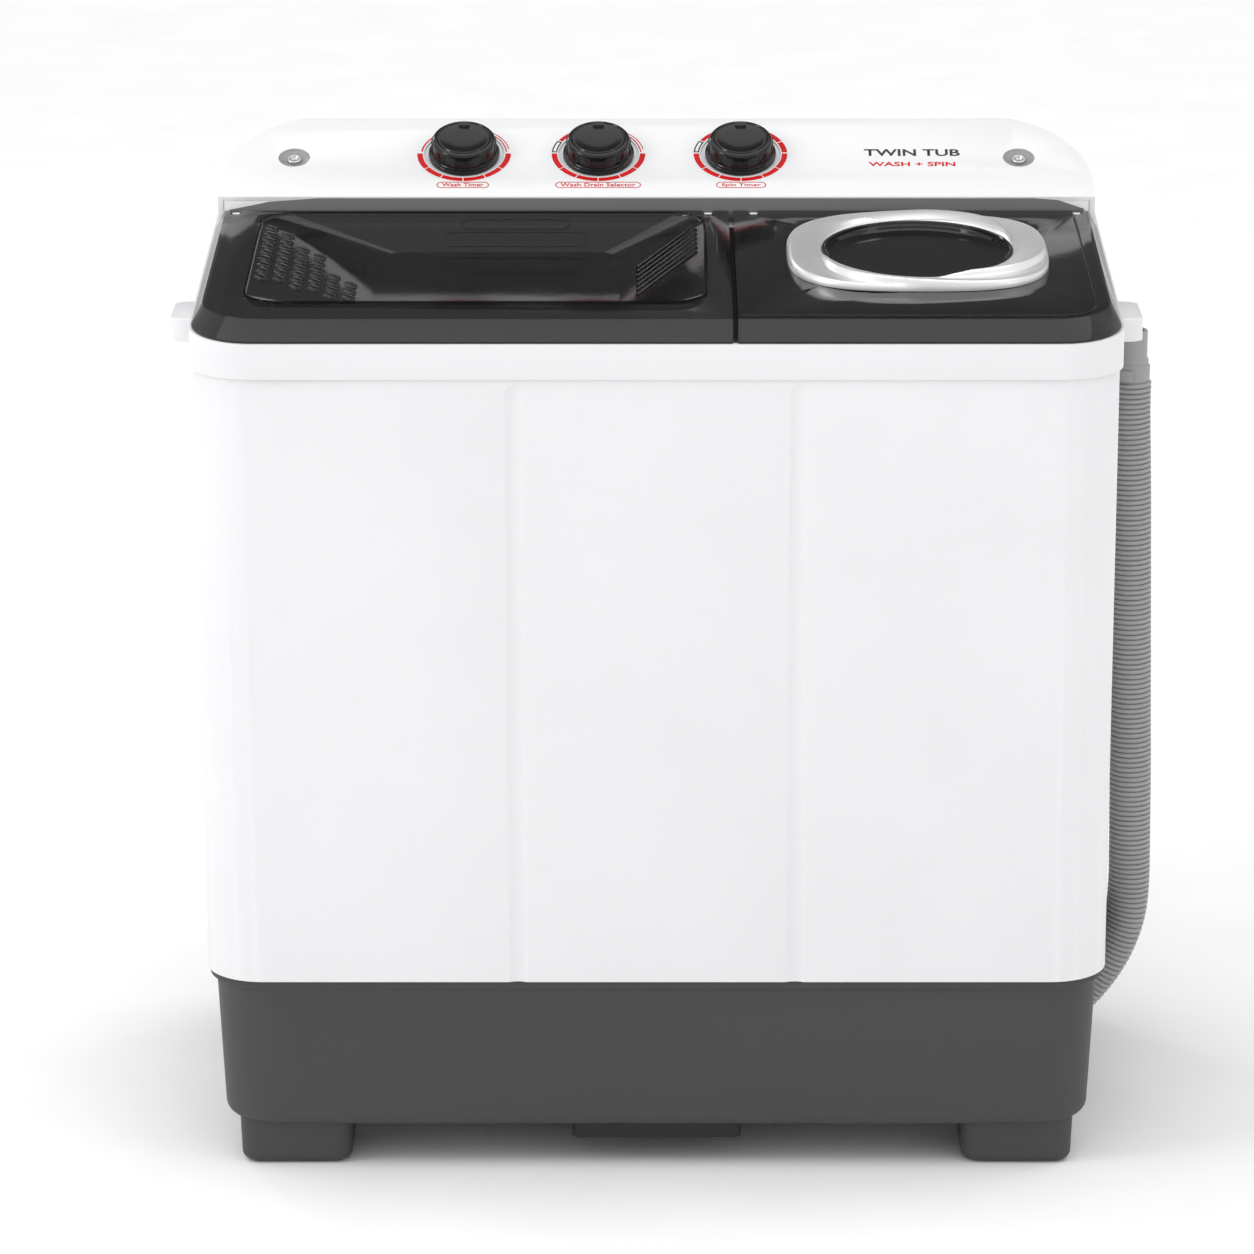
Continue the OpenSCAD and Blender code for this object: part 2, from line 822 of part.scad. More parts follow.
module pulsator_pulley() {
  color(steel) translate([wash_x, tub_y, belt_z]) difference() {
    pulley(pulley_r, shaft_r);
    for (a = [0 : 60 : 300])
      rotate(a) translate([50, 0, -20]) cylinder(h = 40, r = 17);
  }
}

module pulsator_bearing() {
  color(black) translate([wash_x, tub_y, 0]) difference() {
    union() {
      translate([0, 0, wash_floor_z - tub_t - 10]) cylinder(h = 10, r = 48);
      translate([0, 0, belt_z + 12]) cylinder(h = 68, r = 20);
    }
    translate([0, 0, belt_z]) cylinder(h = 100, r = shaft_r + play);
  }
}

// Flat outline of a belt around both pulleys, grown by t.
module belt_form(t) {
  hull() {
    circle(pulley_r + t, $fn = 48);
    translate([belt_span, 0]) circle(motor_pulley_r + t, $fn = 32);
  }
}

module drive_belt() {
  color(black) translate([wash_x, tub_y, belt_z - 2.5]) rotate(belt_turn)
    linear_extrude(5) difference() {
      belt_form(belt_t);
      belt_form(gap);
    }
}

module wash_motor() {
  color(steel) translate([motor_x, motor_y, 0]) difference() {
    union() {
      translate([0, 0, 76]) cylinder(h = 22, r = 50);
      translate([0, 0, 98]) cylinder(h = 66, r = 54);
      translate([0, 0, 164]) cylinder(h = 22, r = 50);
      translate([0, 0, 186]) cylinder(h = 8, r = 14);
      for (a = [45 : 90 : 315])
        rotate(a) translate([50, 0, 72]) cylinder(h = 30, r = 7);
    }
    translate([0, 0, 110]) cylinder(h = 100, r = 6 + play);
    for (a = [0 : 30 : 330])
      rotate(a) translate([40, -3, 178]) cube([6, 6, 10]);
  }
}

module wash_motor_bracket() {
  plate = [128, 128, 14];
  color(black) difference() {
    union() {
      block(plate, motor_x, motor_y, 66, 6);
      for (sx = [-1, 1], sy = [-1, 1])
        translate([motor_x + sx * 48, motor_y + sy * 52, base_floor_z])
          cylinder(h = 23, r = 7);
    }
    translate([motor_x, motor_y, 60]) cylinder(h = 20, r = 30);
  }
}

module wash_motor_shaft() {
  color(steel) translate([motor_x, motor_y, 112]) cylinder(h = 116, r = 6);
}

module wash_motor_pulley() {
  color(black) translate([motor_x, motor_y, belt_z]) pulley(motor_pulley_r, 6);
}

// ------------------------------------------------------------------ spin dryer

module spin_basket() {
  color(inner_grey) translate([spin_x, tub_y, basket_z]) difference() {
    cylinder(h = basket_h, r = basket_r);
    translate([0, 0, 4]) difference() {
      cylinder(h = basket_h, r = basket_r - 3);
      cylinder(h = 26, r1 = 40, r2 = 26);
    }
    translate([0, 0, -1]) cylinder(h = 25, r = shaft_r);
    for (a = [0 : 30 : 330], z = [50 : 45 : 230])
      rotate([0, 0, a + z / 3]) translate([basket_r - 8, 0, z]) rotate([0, 90, 0])
        cylinder(h = 12, r = 3.5, $fn = 24);
    for (a = [0 : 45 : 315])
      rotate(a) translate([80, 0, -1]) cylinder(h = 10, r = 6, $fn = 24);
  }
}

module balance_ring() {
  r1 = basket_r - 3;
  color(white) translate([spin_x, tub_y, basket_z + basket_h - 28])
    rotate_extrude() difference() {
      translate([r1 - 15, 0]) square([15, 28]);
      translate([r1 - 12.5, 2.5]) square([10, 23]);
    }
}

module spin_shaft() {
  color(steel) translate([spin_x, tub_y, 200]) cylinder(h = basket_z + 24 - 200, r = shaft_r);
}

module spin_seal() {
  b = shaft_r + play;
  color(black) translate([spin_x, tub_y, 0]) rotate_extrude() polygon([
    [b, 296], [16, 296], [16, 304], [24, 304], [30, 298], [36, 304], [53, 304],
    [53, 314], [45, 314], [45, 320], [41, 320], [36, 309], [30, 304], [24, 309],
    [16, 312], [16, 326], [b, 326]
  ]);
}

module brake_drum() {
  color(steel) translate([spin_x, tub_y, brake_z]) rotate_extrude() polygon([
    [shaft_r, -6], [16, -6], [16, 0], [brake_r, 0], [brake_r, 20], [brake_r - 4, 20],
    [brake_r - 4, 4], [18, 4], [18, 26], [shaft_r, 26]
  ]);
}

module brake_lever() {
  x = brake_pivot[0];
  y = brake_pivot[1];
  color(black) difference() {
    union() {
      translate([x, y, brake_z + 4]) cylinder(h = 12, r = 9);
      translate([x - 4, y, brake_z + 5]) cube([8, 116, 8]);
      translate([spin_x, tub_y, brake_z + 4]) intersection() {
        difference() {
          cylinder(h = 12, r = brake_r + 14);
          translate([0, 0, -1]) cylinder(h = 14, r = brake_r + brake_gap);
        }
        translate([brake_r - 8, -20, 0]) cube([20, 40, 12]);
      }
    }
    translate([x, y, brake_z]) cylinder(h = 30, r = 4 + play);
    translate([x, y + 110, brake_z]) cylinder(h = 30, r = 2);
  }
}

module brake_cable() {
  x = brake_pivot[0];
  y = brake_pivot[1] + 122;
  color(black) swept([[x, y, brake_z + 9], [x, 90, brake_z + 9], [x + 15, 112, 256],
    [310, 120, 275], [326, 120, 310], [330, 120, 360], [330, 120, 690],
    [330, 117, 702], [330, 110, 708]], 2, 8, [1, -0.3, 0]);
}

module spin_motor() {
  color(steel) translate([spin_x, tub_y, 0]) difference() {
    union() {
      translate([0, 0, 122]) cylinder(h = 24, r = 56);
      translate([0, 0, 146]) cylinder(h = 50, r = 62);
      translate([0, 0, 196]) cylinder(h = 22, r = 56);
      translate([0, 0, 218]) cylinder(h = 10, r = 18);
      translate([0, 0, 112]) cylinder(h = 10, r = 40);
      for (a = spring_angles)
        rotate(a) {
          translate([0, -14, 116]) cube([spring_radius, 28, 6]);
          translate([spring_radius, 0, 116]) cylinder(h = 6, r = 20);
        }
      translate([brake_pivot[0] - spin_x, brake_pivot[1] - tub_y, 0]) {
        translate([0, 0, 210]) cylinder(h = brake_z - 207, r = 9);
        translate([0, 0, 210]) cylinder(h = brake_z - 190, r = 4);
      }
      translate([20, -60, 206]) cube([48, 16, 8]);
    }
    translate([0, 0, 150]) cylinder(h = 100, r = shaft_r + play);
  }
}

module spring_cups() {
  translate([spin_x, tub_y, base_floor_z - 1])
    for (a = spring_angles)
      rotate(a) translate([spring_radius, 0, 0]) difference() {
        cylinder(h = 17, r = 20);
        translate([0, 0, 7]) cylinder(h = 20, r = 17);
      }
}

// Centre line of a coil spring of the given height.
function coil(h, r, turns, steps) =
  [for (i = [0 : turns * steps])
    [r * cos(360 * i / steps), r * sin(360 * i / steps), h * i / (turns * steps)]];

module suspension_springs() {
  wire_r = 1.8;
  low = base_floor_z + 6 + wire_r;
  color(steel) translate([spin_x, tub_y, low])
    for (a = spring_angles)
      rotate(a) translate([spring_radius, 0, 0])
        swept(coil(116 - wire_r - low, 14, 5, 14), wire_r, 6, [0, 0, 1]);
}

// ----------------------------------------------------------------------- drain

module drain_valve_body() {
  color(white) difference() {
    union() {
      translate([valve_x, valve_y, valve_z]) cylinder(h = 60, r = 27);
      rod_y(valve_x, 114, valve_y, valve_z + 22, 14);
      rod_x(valve_x - 40, valve_x, valve_y, valve_z + 40, 11);
    }
    translate([valve_x, valve_y, valve_z + 14]) cylinder(h = 43, r = 24);
    translate([valve_x, valve_y, valve_z - 1]) cylinder(h = 20, r = 10);
    translate([valve_x, valve_y, valve_z]) cylinder(h = 80, r = 3.6);
    rod_y(valve_x, 113, valve_y, valve_z + 22, 10);
    rod_x(valve_x - 41, valve_x, valve_y, valve_z + 40, 8);
  }
}

module drain_valve_plug() {
  color(black) translate([valve_x, valve_y, valve_z]) {
    translate([0, 0, 14.4]) cylinder(h = 6, r = 17);
    translate([0, 0, 20.4]) cylinder(h = 14, r1 = 15, r2 = 8);
    translate([0, 0, 20.4]) cylinder(h = 445, r = 3);
    translate([0, 0, 458]) cylinder(h = 5, r = 9);
  }
}

// From the wash tub to the valve, from the spin tub to the elbow, and the overflow.
module drain_pipes() {
  color(black) {
    pipe([[valve_x, 60, wash_floor_z - tub_t], [valve_x, 60, valve_z + 22],
      [valve_x, 114, valve_z + 22]], 12);
    pipe([[120, 55, spin_floor_z - tub_t], [120, 55, 290], [120, valve_y, 290],
      [120, valve_y, 100]], 11);
    pipe([[overflow_x, 98, overflow_z], [overflow_x, 118, overflow_z],
      [overflow_x, 118, 300], [overflow_x, valve_y, valve_z + 40],
      [valve_x - 40, valve_y, valve_z + 40]], 9);
  }
}

module drain_elbow() {
  away = path_way(hose_route, len(hose_route) - 1);
  start = hose_end + 0.4 * away;
  low = hose_end + 14.5 * away;
  color(black) {
    pipe([start, low, [low[0], valve_y, low[2]], [valve_x, valve_y, low[2]],
      [valve_x, valve_y, valve_z]], drain_r);
    translate([120, valve_y, low[2]]) cylinder(h = 100 - low[2], r = 11);
  }
}

module capacitors() {
  color(inner_grey)
    for (x = [-180, -225]) {
      translate([x, 178, base_floor_z]) cylinder(h = 58, r = 17);
      translate([x, 178, base_floor_z + 58]) cylinder(h = 8, r = 5);
    }
}

module hose_clip() {
  z = hose_top_z + 2;
  color(white) difference() {
    union() {
      translate([cabinet_half_w, hose_y - 20, z - 8]) cube([4, 40, 26]);
      translate([cabinet_half_w, hose_y - 8, z]) cube([10, 16, 9]);
      intersection() {
        translate([hose_top[0], hose_y, z]) cylinder(h = 9, r = 19.6);
        translate([cabinet_half_w, hose_y - 30, z]) cube([24.8, 60, 9]);
      }
    }
    translate([hose_top[0], hose_y, z - 1]) cylinder(h = 11, r = 16.3);
  }
}

module drain_hose() {
  color(hose_grey) swept(hose_route, hose_d / 2, 12, [0, 1, 0]);
}

module drain_hose_cuff() {
  color(hose_grey) translate([hose_top[0], hose_y, 0]) difference() {
    union() {
      translate([0, 0, hose_top_z]) cylinder(h = 13, r = 16);
      translate([0, 0, hose_top_z + 13]) cylinder(h = 5, r = 14.7);
      translate([0, 0, hose_top_z + 18]) cylinder(h = 24, r = 13.5);
    }
    translate([0, 0, hose_top_z + 4]) cylinder(h = 60, r = 11);
  }
}

base();
base_legs();
foot_pads();
bottom_cover();
cabinet();
top_frame();
side_handles();
control_panel();
panel_screws();
rear_cover();
wash_tub();
spin_tub();
filter_duct();
lint_filter();
inlet_connector();
inlet_spout();
wash_timer();
drain_selector();
spin_timer();
wash_timer_shaft();
selector_shaft();
spin_timer_shaft();
wash_timer_knob();
selector_knob();
spin_timer_knob();
wash_lid();
wash_lid_pins();
spin_lid();
spin_lid_pins();
spin_lid_ring();
spin_lid_window();
spin_inner_cover();
pulsator();
pulsator_screw();
pulsator_shaft();
pulsator_pulley();
pulsator_bearing();
drive_belt();
wash_motor();
wash_motor_bracket();
wash_motor_shaft();
wash_motor_pulley();
spin_basket();
balance_ring();
spin_shaft();
spin_seal();
brake_drum();
brake_lever();
brake_cable();
spin_motor();
suspension_springs();
cord_gland();
drain_valve_body();
drain_valve_plug();
drain_pipes();
drain_elbow();
capacitors();
hose_clip();
drain_hose();
drain_hose_cuff();
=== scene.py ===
# %% [markdown]
# # A twin-tub washing machine
# The machine has a wash tub on its left and a spin dryer on its right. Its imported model
# already has every part in its place, in metres, with its bodies and joints. This lesson
# dresses that model: visible pieces are shaped again with finer forms, each one rides on
# the body that it belongs to, and every surface gets a finish.

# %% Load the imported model
import json
import math

import bpy
from mathutils import Matrix, Vector


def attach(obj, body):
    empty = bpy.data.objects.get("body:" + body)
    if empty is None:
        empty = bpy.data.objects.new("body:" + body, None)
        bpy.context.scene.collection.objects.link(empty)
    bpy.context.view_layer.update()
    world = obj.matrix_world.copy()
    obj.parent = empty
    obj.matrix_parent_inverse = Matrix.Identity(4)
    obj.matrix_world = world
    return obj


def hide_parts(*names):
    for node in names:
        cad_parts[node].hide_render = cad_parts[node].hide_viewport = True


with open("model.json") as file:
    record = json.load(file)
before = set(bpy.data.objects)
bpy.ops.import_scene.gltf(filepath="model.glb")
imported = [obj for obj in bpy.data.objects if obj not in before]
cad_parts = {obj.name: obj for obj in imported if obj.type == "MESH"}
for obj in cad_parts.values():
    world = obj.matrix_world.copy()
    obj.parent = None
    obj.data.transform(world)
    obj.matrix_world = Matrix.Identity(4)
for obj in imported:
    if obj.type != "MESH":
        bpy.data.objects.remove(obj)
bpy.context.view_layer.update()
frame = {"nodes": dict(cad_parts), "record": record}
nodes = frame["nodes"]
record = frame["record"]
slot_of = {row["node"]: row["material_slot"] for row in record["subparts"]}
body_of = {
    member: body
    for body, members in record["behaviour"]["bodies"].items()
    for member in members
}

# %% [markdown]
# ## Camera
# The camera stands straight in front, 4.5 m away and 16.5 degrees above the level. A long
# lens from that far keeps the cabinet's sides nearly parallel. A small shift moves the
# machine right in the frame without turning the camera.

# %% Camera
LOOK_DOWN = math.radians(16.5)
DISTANCE = 4.5
AIM_HEIGHT = 0.4045

bpy.ops.object.camera_add(
    location=(0, -DISTANCE * math.cos(LOOK_DOWN), AIM_HEIGHT + DISTANCE * math.sin(LOOK_DOWN)),
    rotation=(math.pi / 2 - LOOK_DOWN, 0, 0),
)
camera = bpy.context.object
camera.data.lens = 154.6
camera.data.shift_x = -0.0235
bpy.context.scene.camera = camera
print("camera at", [round(value, 3) for value in camera.location])

# %% [markdown]
# ## Helpers for modelling
# Every operator works on what is selected, so each helper first deselects everything and
# takes one piece. `start` adds a primitive, `settle` writes its place into its mesh, `edit`
# picks faces, edges or points by where they are and runs operators on them, and `modified`
# adds a modifier and applies it.

# %% Start, settle and edit a piece
def take(piece):
    """Makes piece the only selected object."""
    bpy.ops.object.select_all(action="DESELECT")
    piece.select_set(True)
    bpy.context.view_layer.objects.active = piece
    return piece


def settle(piece):
    """Writes the object's place, turn and size into its mesh."""
    take(piece)
    bpy.ops.object.transform_apply(location=True, rotation=True, scale=True)
    return piece


def start(kind, name, scale=(1, 1, 1), **where):
    """Adds a primitive at its size and place."""
    bpy.ops.object.select_all(action="DESELECT")
    getattr(bpy.ops.mesh, f"primitive_{kind}_add")(**where)
    piece = bpy.context.object
    piece.name = piece.data.name = name
    piece.scale = scale
    return settle(piece)


def edit(piece, kind, test, *steps):
    """Selects what test accepts, by middle and direction, and runs steps on it."""
    take(piece)
    bpy.ops.object.mode_set(mode="EDIT")
    bpy.ops.mesh.select_mode(type=kind)
    bpy.ops.mesh.select_all(action="DESELECT")
    bpy.ops.object.mode_set(mode="OBJECT")
    mesh = piece.data
    if kind == "FACE":
        for face in mesh.polygons:
            face.select = bool(test(face.center, face.normal))
    elif kind == "EDGE":
        for edge in mesh.edges:
            a, b = (mesh.vertices[i].co for i in edge.vertices)
            edge.select = bool(test((a + b) / 2, (b - a).normalized()))
    else:
        for point in mesh.vertices:
            point.select = bool(test(point.co, point.normal))
    bpy.ops.object.mode_set(mode="EDIT")
    for step in steps:
        step()
    bpy.ops.object.mode_set(mode="OBJECT")
    return piece


def modified(piece, kind, **settings):
    """Adds a modifier and applies it."""
    take(piece)
    modifier = piece.modifiers.new(kind, kind)
    for key, value in settings.items():
        setattr(modifier, key, value)
    bpy.ops.object.modifier_apply(modifier=modifier.name)
    return piece


def everything(*_):
    """A test that accepts all."""
    return True


print("modelling helpers ready")

# %% [markdown]
# A moulded part never has razor edges. `rounded` gives every edge sharper than an angle a
# small round, which catches the light as a thin bright line. `cut` takes one shape out of
# another, as a mould core does, and `turned` grows a round piece ring by ring, as on a
# lathe.

# %% Round, cut and turn
def rounded(piece, width, angle=35, segments=2):
    """Rounds the edges that turn by more than angle."""
    return modified(
        piece, "BEVEL", width=width, segments=segments, limit_method="ANGLE",
        angle_limit=math.radians(angle), use_clamp_overlap=True,
    )


def cut(piece, *cutters, operation="DIFFERENCE"):
    """Takes the cutters out of piece, or adds them to it."""
    for cutter in cutters:
        modified(piece, "BOOLEAN", operation=operation, solver="EXACT", object=cutter)
        bpy.data.objects.remove(cutter)
    return piece


def joined(name, pieces):
    """Several pieces as one object."""
    take(pieces[0])
    for piece in pieces:
        piece.select_set(True)
    bpy.ops.object.join()
    pieces[0].name = pieces[0].data.name = name
    return pieces[0]


def placed(piece, matrix):
    """Moves the mesh itself, so that the object stays at the origin."""
    piece.data.transform(matrix)
    piece.data.update()
    return piece


def copied(piece, name, matrix):
    """A copy with its own mesh, moved by matrix."""
    other = bpy.data.objects.new(name, piece.data.copy())
    other.data.name = name
    bpy.context.scene.collection.objects.link(other)
    return placed(other, matrix)


def at(x, y, z):
    """A move, as a matrix."""
    return Matrix.Translation((x, y, z))


def turned(name, profile, segments=48, filled=True):
    """A round piece about Z: each (radius, height) of the profile is its next ring."""
    piece = start("circle", name, vertices=segments, radius=profile[0][0],
                  location=(0, 0, profile[0][1]))

    def grow():
        for (r0, h0), (r1, h1) in zip(profile, profile[1:]):
            bpy.ops.mesh.extrude_region_move(TRANSFORM_OT_translate={"value": (0, 0, h1 - h0)})
            bpy.ops.transform.resize(value=(r1 / r0, r1 / r0, 1), center_override=(0, 0, h1))

    edit(piece, "VERT", everything, grow)
    if filled:
        edit(piece, "VERT", everything,
             lambda: bpy.ops.mesh.remove_doubles(threshold=1e-6),
             lambda: bpy.ops.mesh.fill_holes(sides=0),
             lambda: bpy.ops.mesh.select_all(action="SELECT"),
             lambda: bpy.ops.mesh.normals_make_consistent(inside=False))
    return piece


print("shaping helpers ready")

# %% [markdown]
# ## Helpers for finishes
# A finish is a small network of shader nodes. `Wire` holds one value of it, and sums on
# wires add Math nodes, so a roughness can be written as an expression. All patterns read
# the object's own coordinates, which are metres here, so a scale of 1000 is a grain of
# about a millimetre.

# %% Wires and nodes
def feed(slot, value):
    """Links a wire to a socket, or sets a constant on it."""
    if isinstance(value, Wire):
        slot.id_data.links.new(value.socket, slot)
    else:
        slot.default_value = value


def grow_node(tree, kind, settings=None, values=None, output=0):
    """Adds any node: its settings first, then its sockets."""
    made = tree.nodes.new("ShaderNode" + kind)
    for key, value in (settings or {}).items():
        setattr(made, key, value)
    for key, value in (values or {}).items():
        feed(made.inputs[key], value)
    return Wire(made.outputs[output])


class Wire:
    """One value in a shader, which can be used in sums."""

    def __init__(self, socket):
        self.socket = socket

    def sum(self, operation, first, second):
        return grow_node(self.socket.id_data, "Math", {"operation": operation},
                         {0: first, 1: second})

    def __add__(self, other):
        return self.sum("ADD", self, other)

    def __sub__(self, other):
        return self.sum("SUBTRACT", self, other)

    def __rsub__(self, other):
        return self.sum("SUBTRACT", other, self)

    def __mul__(self, other):
        return self.sum("MULTIPLY", self, other)

    __radd__ = __add__
    __rmul__ = __mul__


class Finish:
    """A material around one Principled surface."""

    def __init__(self, name, surface):
        self.material = bpy.data.materials.new(name)
        self.material.use_nodes = True
        self.tree = self.material.node_tree
        self.surface = self.tree.nodes["Principled BSDF"]
        self.set(surface)
        self.place = self.node("TexCoord", output="Object")

    def node(self, kind, settings=None, values=None, output=0):
        return grow_node(self.tree, kind, settings, values, output)

    def set(self, surface):
        for socket, value in surface.items():
            feed(self.surface.inputs[socket], value)

    def noise(self, scale, detail=2.0):
        return self.node("TexNoise", None,
                         {"Vector": self.place, "Scale": scale, "Detail": detail})

    def mix(self, mask, first, second):
        return self.node("Mix", {"data_type": "RGBA"}, {0: mask, 6: first, 7: second}, 2)

    def relief(self, height, strength, distance):
        self.set({"Normal": self.node("Bump", None, {
            "Strength": strength, "Distance": distance, "Height": height})})


def shade(color, factor):
    """A colour, lighter or darker by factor."""
    return tuple(min(1.0, channel * factor) for channel in color) + (1,)


print("finish helpers ready")

# %% [markdown]
# Moulded plastic shows three things up close: a grain from the mould's skin, a slow change
# of colour and gloss over a hand's width where the melt cooled unevenly, and its own gloss.
# One function makes them all, from glossy knobs to the matt base.

# %% Plastics and rubber
def moulded(name, color, roughness, grain=900, depth=0.1, patch=0.05, **more):
    """Moulded plastic with a grain of 1/grain metres and patches of uneven gloss."""
    finish = Finish(name, {"Base Color": color + (1,), "Roughness": roughness, **more})
    cloud = finish.noise(7, 3)
    skin = finish.noise(grain, 3)
    finish.set({
        "Base Color": finish.mix(cloud, shade(color, 0.96), shade(color, 1.04)),
        "Roughness": roughness + (cloud - 0.5) * patch + (skin - 0.5) * (2 * patch),
    })
    finish.relief(skin, depth, 0.0002)
    return finish


finishes = {
    "white_plastic": moulded("satin_white_plastic", (0.755, 0.758, 0.768), 0.34, 700, 0.04),
    "panel_plastic": moulded("panel_white_plastic", (0.76, 0.763, 0.773), 0.30, 700, 0.03),
    "base_plastic": moulded("grained_grey_plastic", (0.050, 0.050, 0.051), 0.55, 1500, 0.30,
                            **{"Specular IOR Level": 0.35}),
    "black_plastic": moulded("grained_black_plastic", (0.012, 0.012, 0.013), 0.45, 1300, 0.25,
                             **{"Specular IOR Level": 0.35}),
    "knob_plastic": moulded("polished_black_plastic", (0.006, 0.006, 0.0065), 0.16, 500, 0.02,
                            **{"Specular IOR Level": 0.4}),
    "tub_plastic": moulded("tub_polypropylene", (0.52, 0.55, 0.58), 0.38, 900, 0.08),
    "basket_plastic": moulded("basket_polypropylene", (0.60, 0.63, 0.66), 0.30, 900, 0.06),
    "pulsator_plastic": moulded("pulsator_plastic", (0.22, 0.33, 0.47), 0.28, 800, 0.06),
    "filter_plastic": moulded("filter_plastic", (0.10, 0.26, 0.50), 0.30, 800, 0.06),
    "hose_plastic": moulded("hose_plastic", (0.30, 0.30, 0.305), 0.46, 1200, 0.15),
    "rubber": moulded("black_rubber", (0.018, 0.018, 0.018), 0.72, 1600, 0.35),
}
print("plastics:", ", ".join(finishes))

# %% [markdown]
# Metal is almost all reflection, so its character lies in its roughness. Zinc plate has
# cloudy crystals, a casting has coarse pits, and the ring's silver layer is a satin skin
# with hardly any grain. Smoked plastic is dark and partly see-through: its Alpha is the
# same all over, and each wall of a lid has two such surfaces.

# %% Metals and smoked plastic
def metal(name, color, roughness, grain, depth, cloud_scale=60, distance=0.0002):
    """Metal whose gloss changes in clouds, with a fine relief."""
    finish = Finish(name, {"Metallic": 1.0})
    cloud = finish.noise(cloud_scale, 4)
    pits = finish.noise(grain, 4)
    finish.set({
        "Base Color": finish.mix(cloud, shade(color, 0.86), shade(color, 1.08)),
        "Roughness": roughness + (cloud - 0.5) * 0.16,
    })
    finish.relief(pits, depth, distance)
    return finish


def smoked(name, alpha):
    """Clear plastic tinted nearly black."""
    finish = Finish(name, {"Base Color": (0.010, 0.010, 0.011, 1), "Alpha": alpha})
    ripple = finish.noise(26, 2)
    finish.set({"Roughness": 0.05 + ripple * 0.05})
    finish.relief(ripple, 0.08, 0.0015)
    return finish


finishes["zinc_steel"] = metal("zinc_plated_steel", (0.60, 0.61, 0.63), 0.34, 900, 0.15, 240)
finishes["screw_steel"] = metal("plated_screw_steel", (0.55, 0.55, 0.56), 0.30, 900, 0.10, 300)
finishes["cast_aluminium"] = metal("cast_aluminium", (0.52, 0.52, 0.53), 0.46, 700, 0.5)
finishes["satin_silver"] = metal("satin_silver", (0.80, 0.805, 0.81), 0.34, 2500, 0.05, 12)
finishes["satin_silver"].set({"Metallic": 0.62})
finishes["black_metal"] = moulded("powder_coated_steel", (0.02, 0.02, 0.021), 0.5, 1800, 0.4)
finishes["smoked_plastic"] = smoked("smoked_plastic", 0.76)
red_ink = moulded("red_ink", (0.56, 0.004, 0.006), 0.45, 1500, 0.05,
                  **{"Specular IOR Level": 0.2})
black_ink = moulded("black_ink", (0.012, 0.012, 0.013), 0.40, 1500, 0.05)
print("metals and films:", len(finishes), "finishes in all")

# %% [markdown]
# A finished piece gets its material, its smooth shading and its body, and the model's nodes
# that it stands for are hidden. `softened` makes such a piece from a copy of a node: the
# copy's loose triangles are merged, flat areas are joined into whole faces, and the edges
# are rounded.

# %% Finish a piece
def dressed(piece, *stands_for, finish=None, body=None, slot=None, smooth=30):
    """Gives a piece its material, shading and body, and hides the nodes it stands for."""
    slot = slot or slot_of[stands_for[0]]
    body = body or body_of[stands_for[0]]
    piece.data.materials.clear()
    piece.data.materials.append((finish or finishes[slot]).material)
    take(piece)
    bpy.ops.object.shade_smooth_by_angle(angle=math.radians(smooth))
    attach(piece, body)
    if stands_for:
        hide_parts(*stands_for)
    size = [round(value * 1000) for value in piece.dimensions]
    print(f"{piece.name}: {size} mm, {len(piece.data.polygons)} faces, on {body}")
    return piece


def merged_copy(name):
    """A copy of a node's mesh, with its triangles merged into whole faces."""
    piece = copied(nodes[name], name + "_piece", Matrix.Identity(4))
    edit(piece, "VERT", everything,
         lambda: bpy.ops.mesh.remove_doubles(threshold=1e-5),
         lambda: bpy.ops.mesh.dissolve_limited(angle_limit=math.radians(0.5)))
    return piece


def softened(name, width, angle=40, segments=2):
    """A node's shape with rounded edges, which stands for the node."""
    return dressed(rounded(merged_copy(name), width, angle, segments), name)


print("dressing helpers ready")

# %% [markdown]
# ## Drain hose
# The drain hose leaves the base's right side, turns upwards in one easy bend and hangs from
# a clip beside the top frame, with its spout up, as it is stored. It is a blow-moulded
# bellows: rounded ribs with narrow grooves between them. One rib is turned on its own, an
# Array repeats it and a Curve bends the row along the route. Its length is known from end
# to end, about 0.57 m.

# %% Route of the hose
HOSE_Y = 0.010
HOSE_D = 0.035
ROUTE = [
    (x / 1000, HOSE_Y, z / 1000)
    for x, z in (
        (391.5, 615), (391.5, 590), (392.7, 555), (394, 515), (395, 475), (396, 435),
        (397, 395), (398, 355), (399, 315), (400, 275), (400.5, 240), (401, 205),
        (401, 175), (399, 151), (392.5, 127), (382, 105), (368, 85), (356.5, 72.5),
        (349, 66),
    )
]


def drawn(name, points):
    """A smooth open curve through the points."""
    line = bpy.data.curves.new(name, "CURVE")
    line.dimensions = "3D"
    spline = line.splines.new("BEZIER")
    spline.bezier_points.add(len(points) - 1)
    for knot, place in zip(spline.bezier_points, points):
        knot.co = place
        knot.handle_left_type = knot.handle_right_type = "AUTO"
    made = bpy.data.objects.new(name, line)
    bpy.context.scene.collection.objects.link(made)
    return made


hose_line = drawn("hose_line", ROUTE)
hose_length = hose_line.data.splines[0].calc_length()
print("hose length:", round(hose_length, 4), "m")

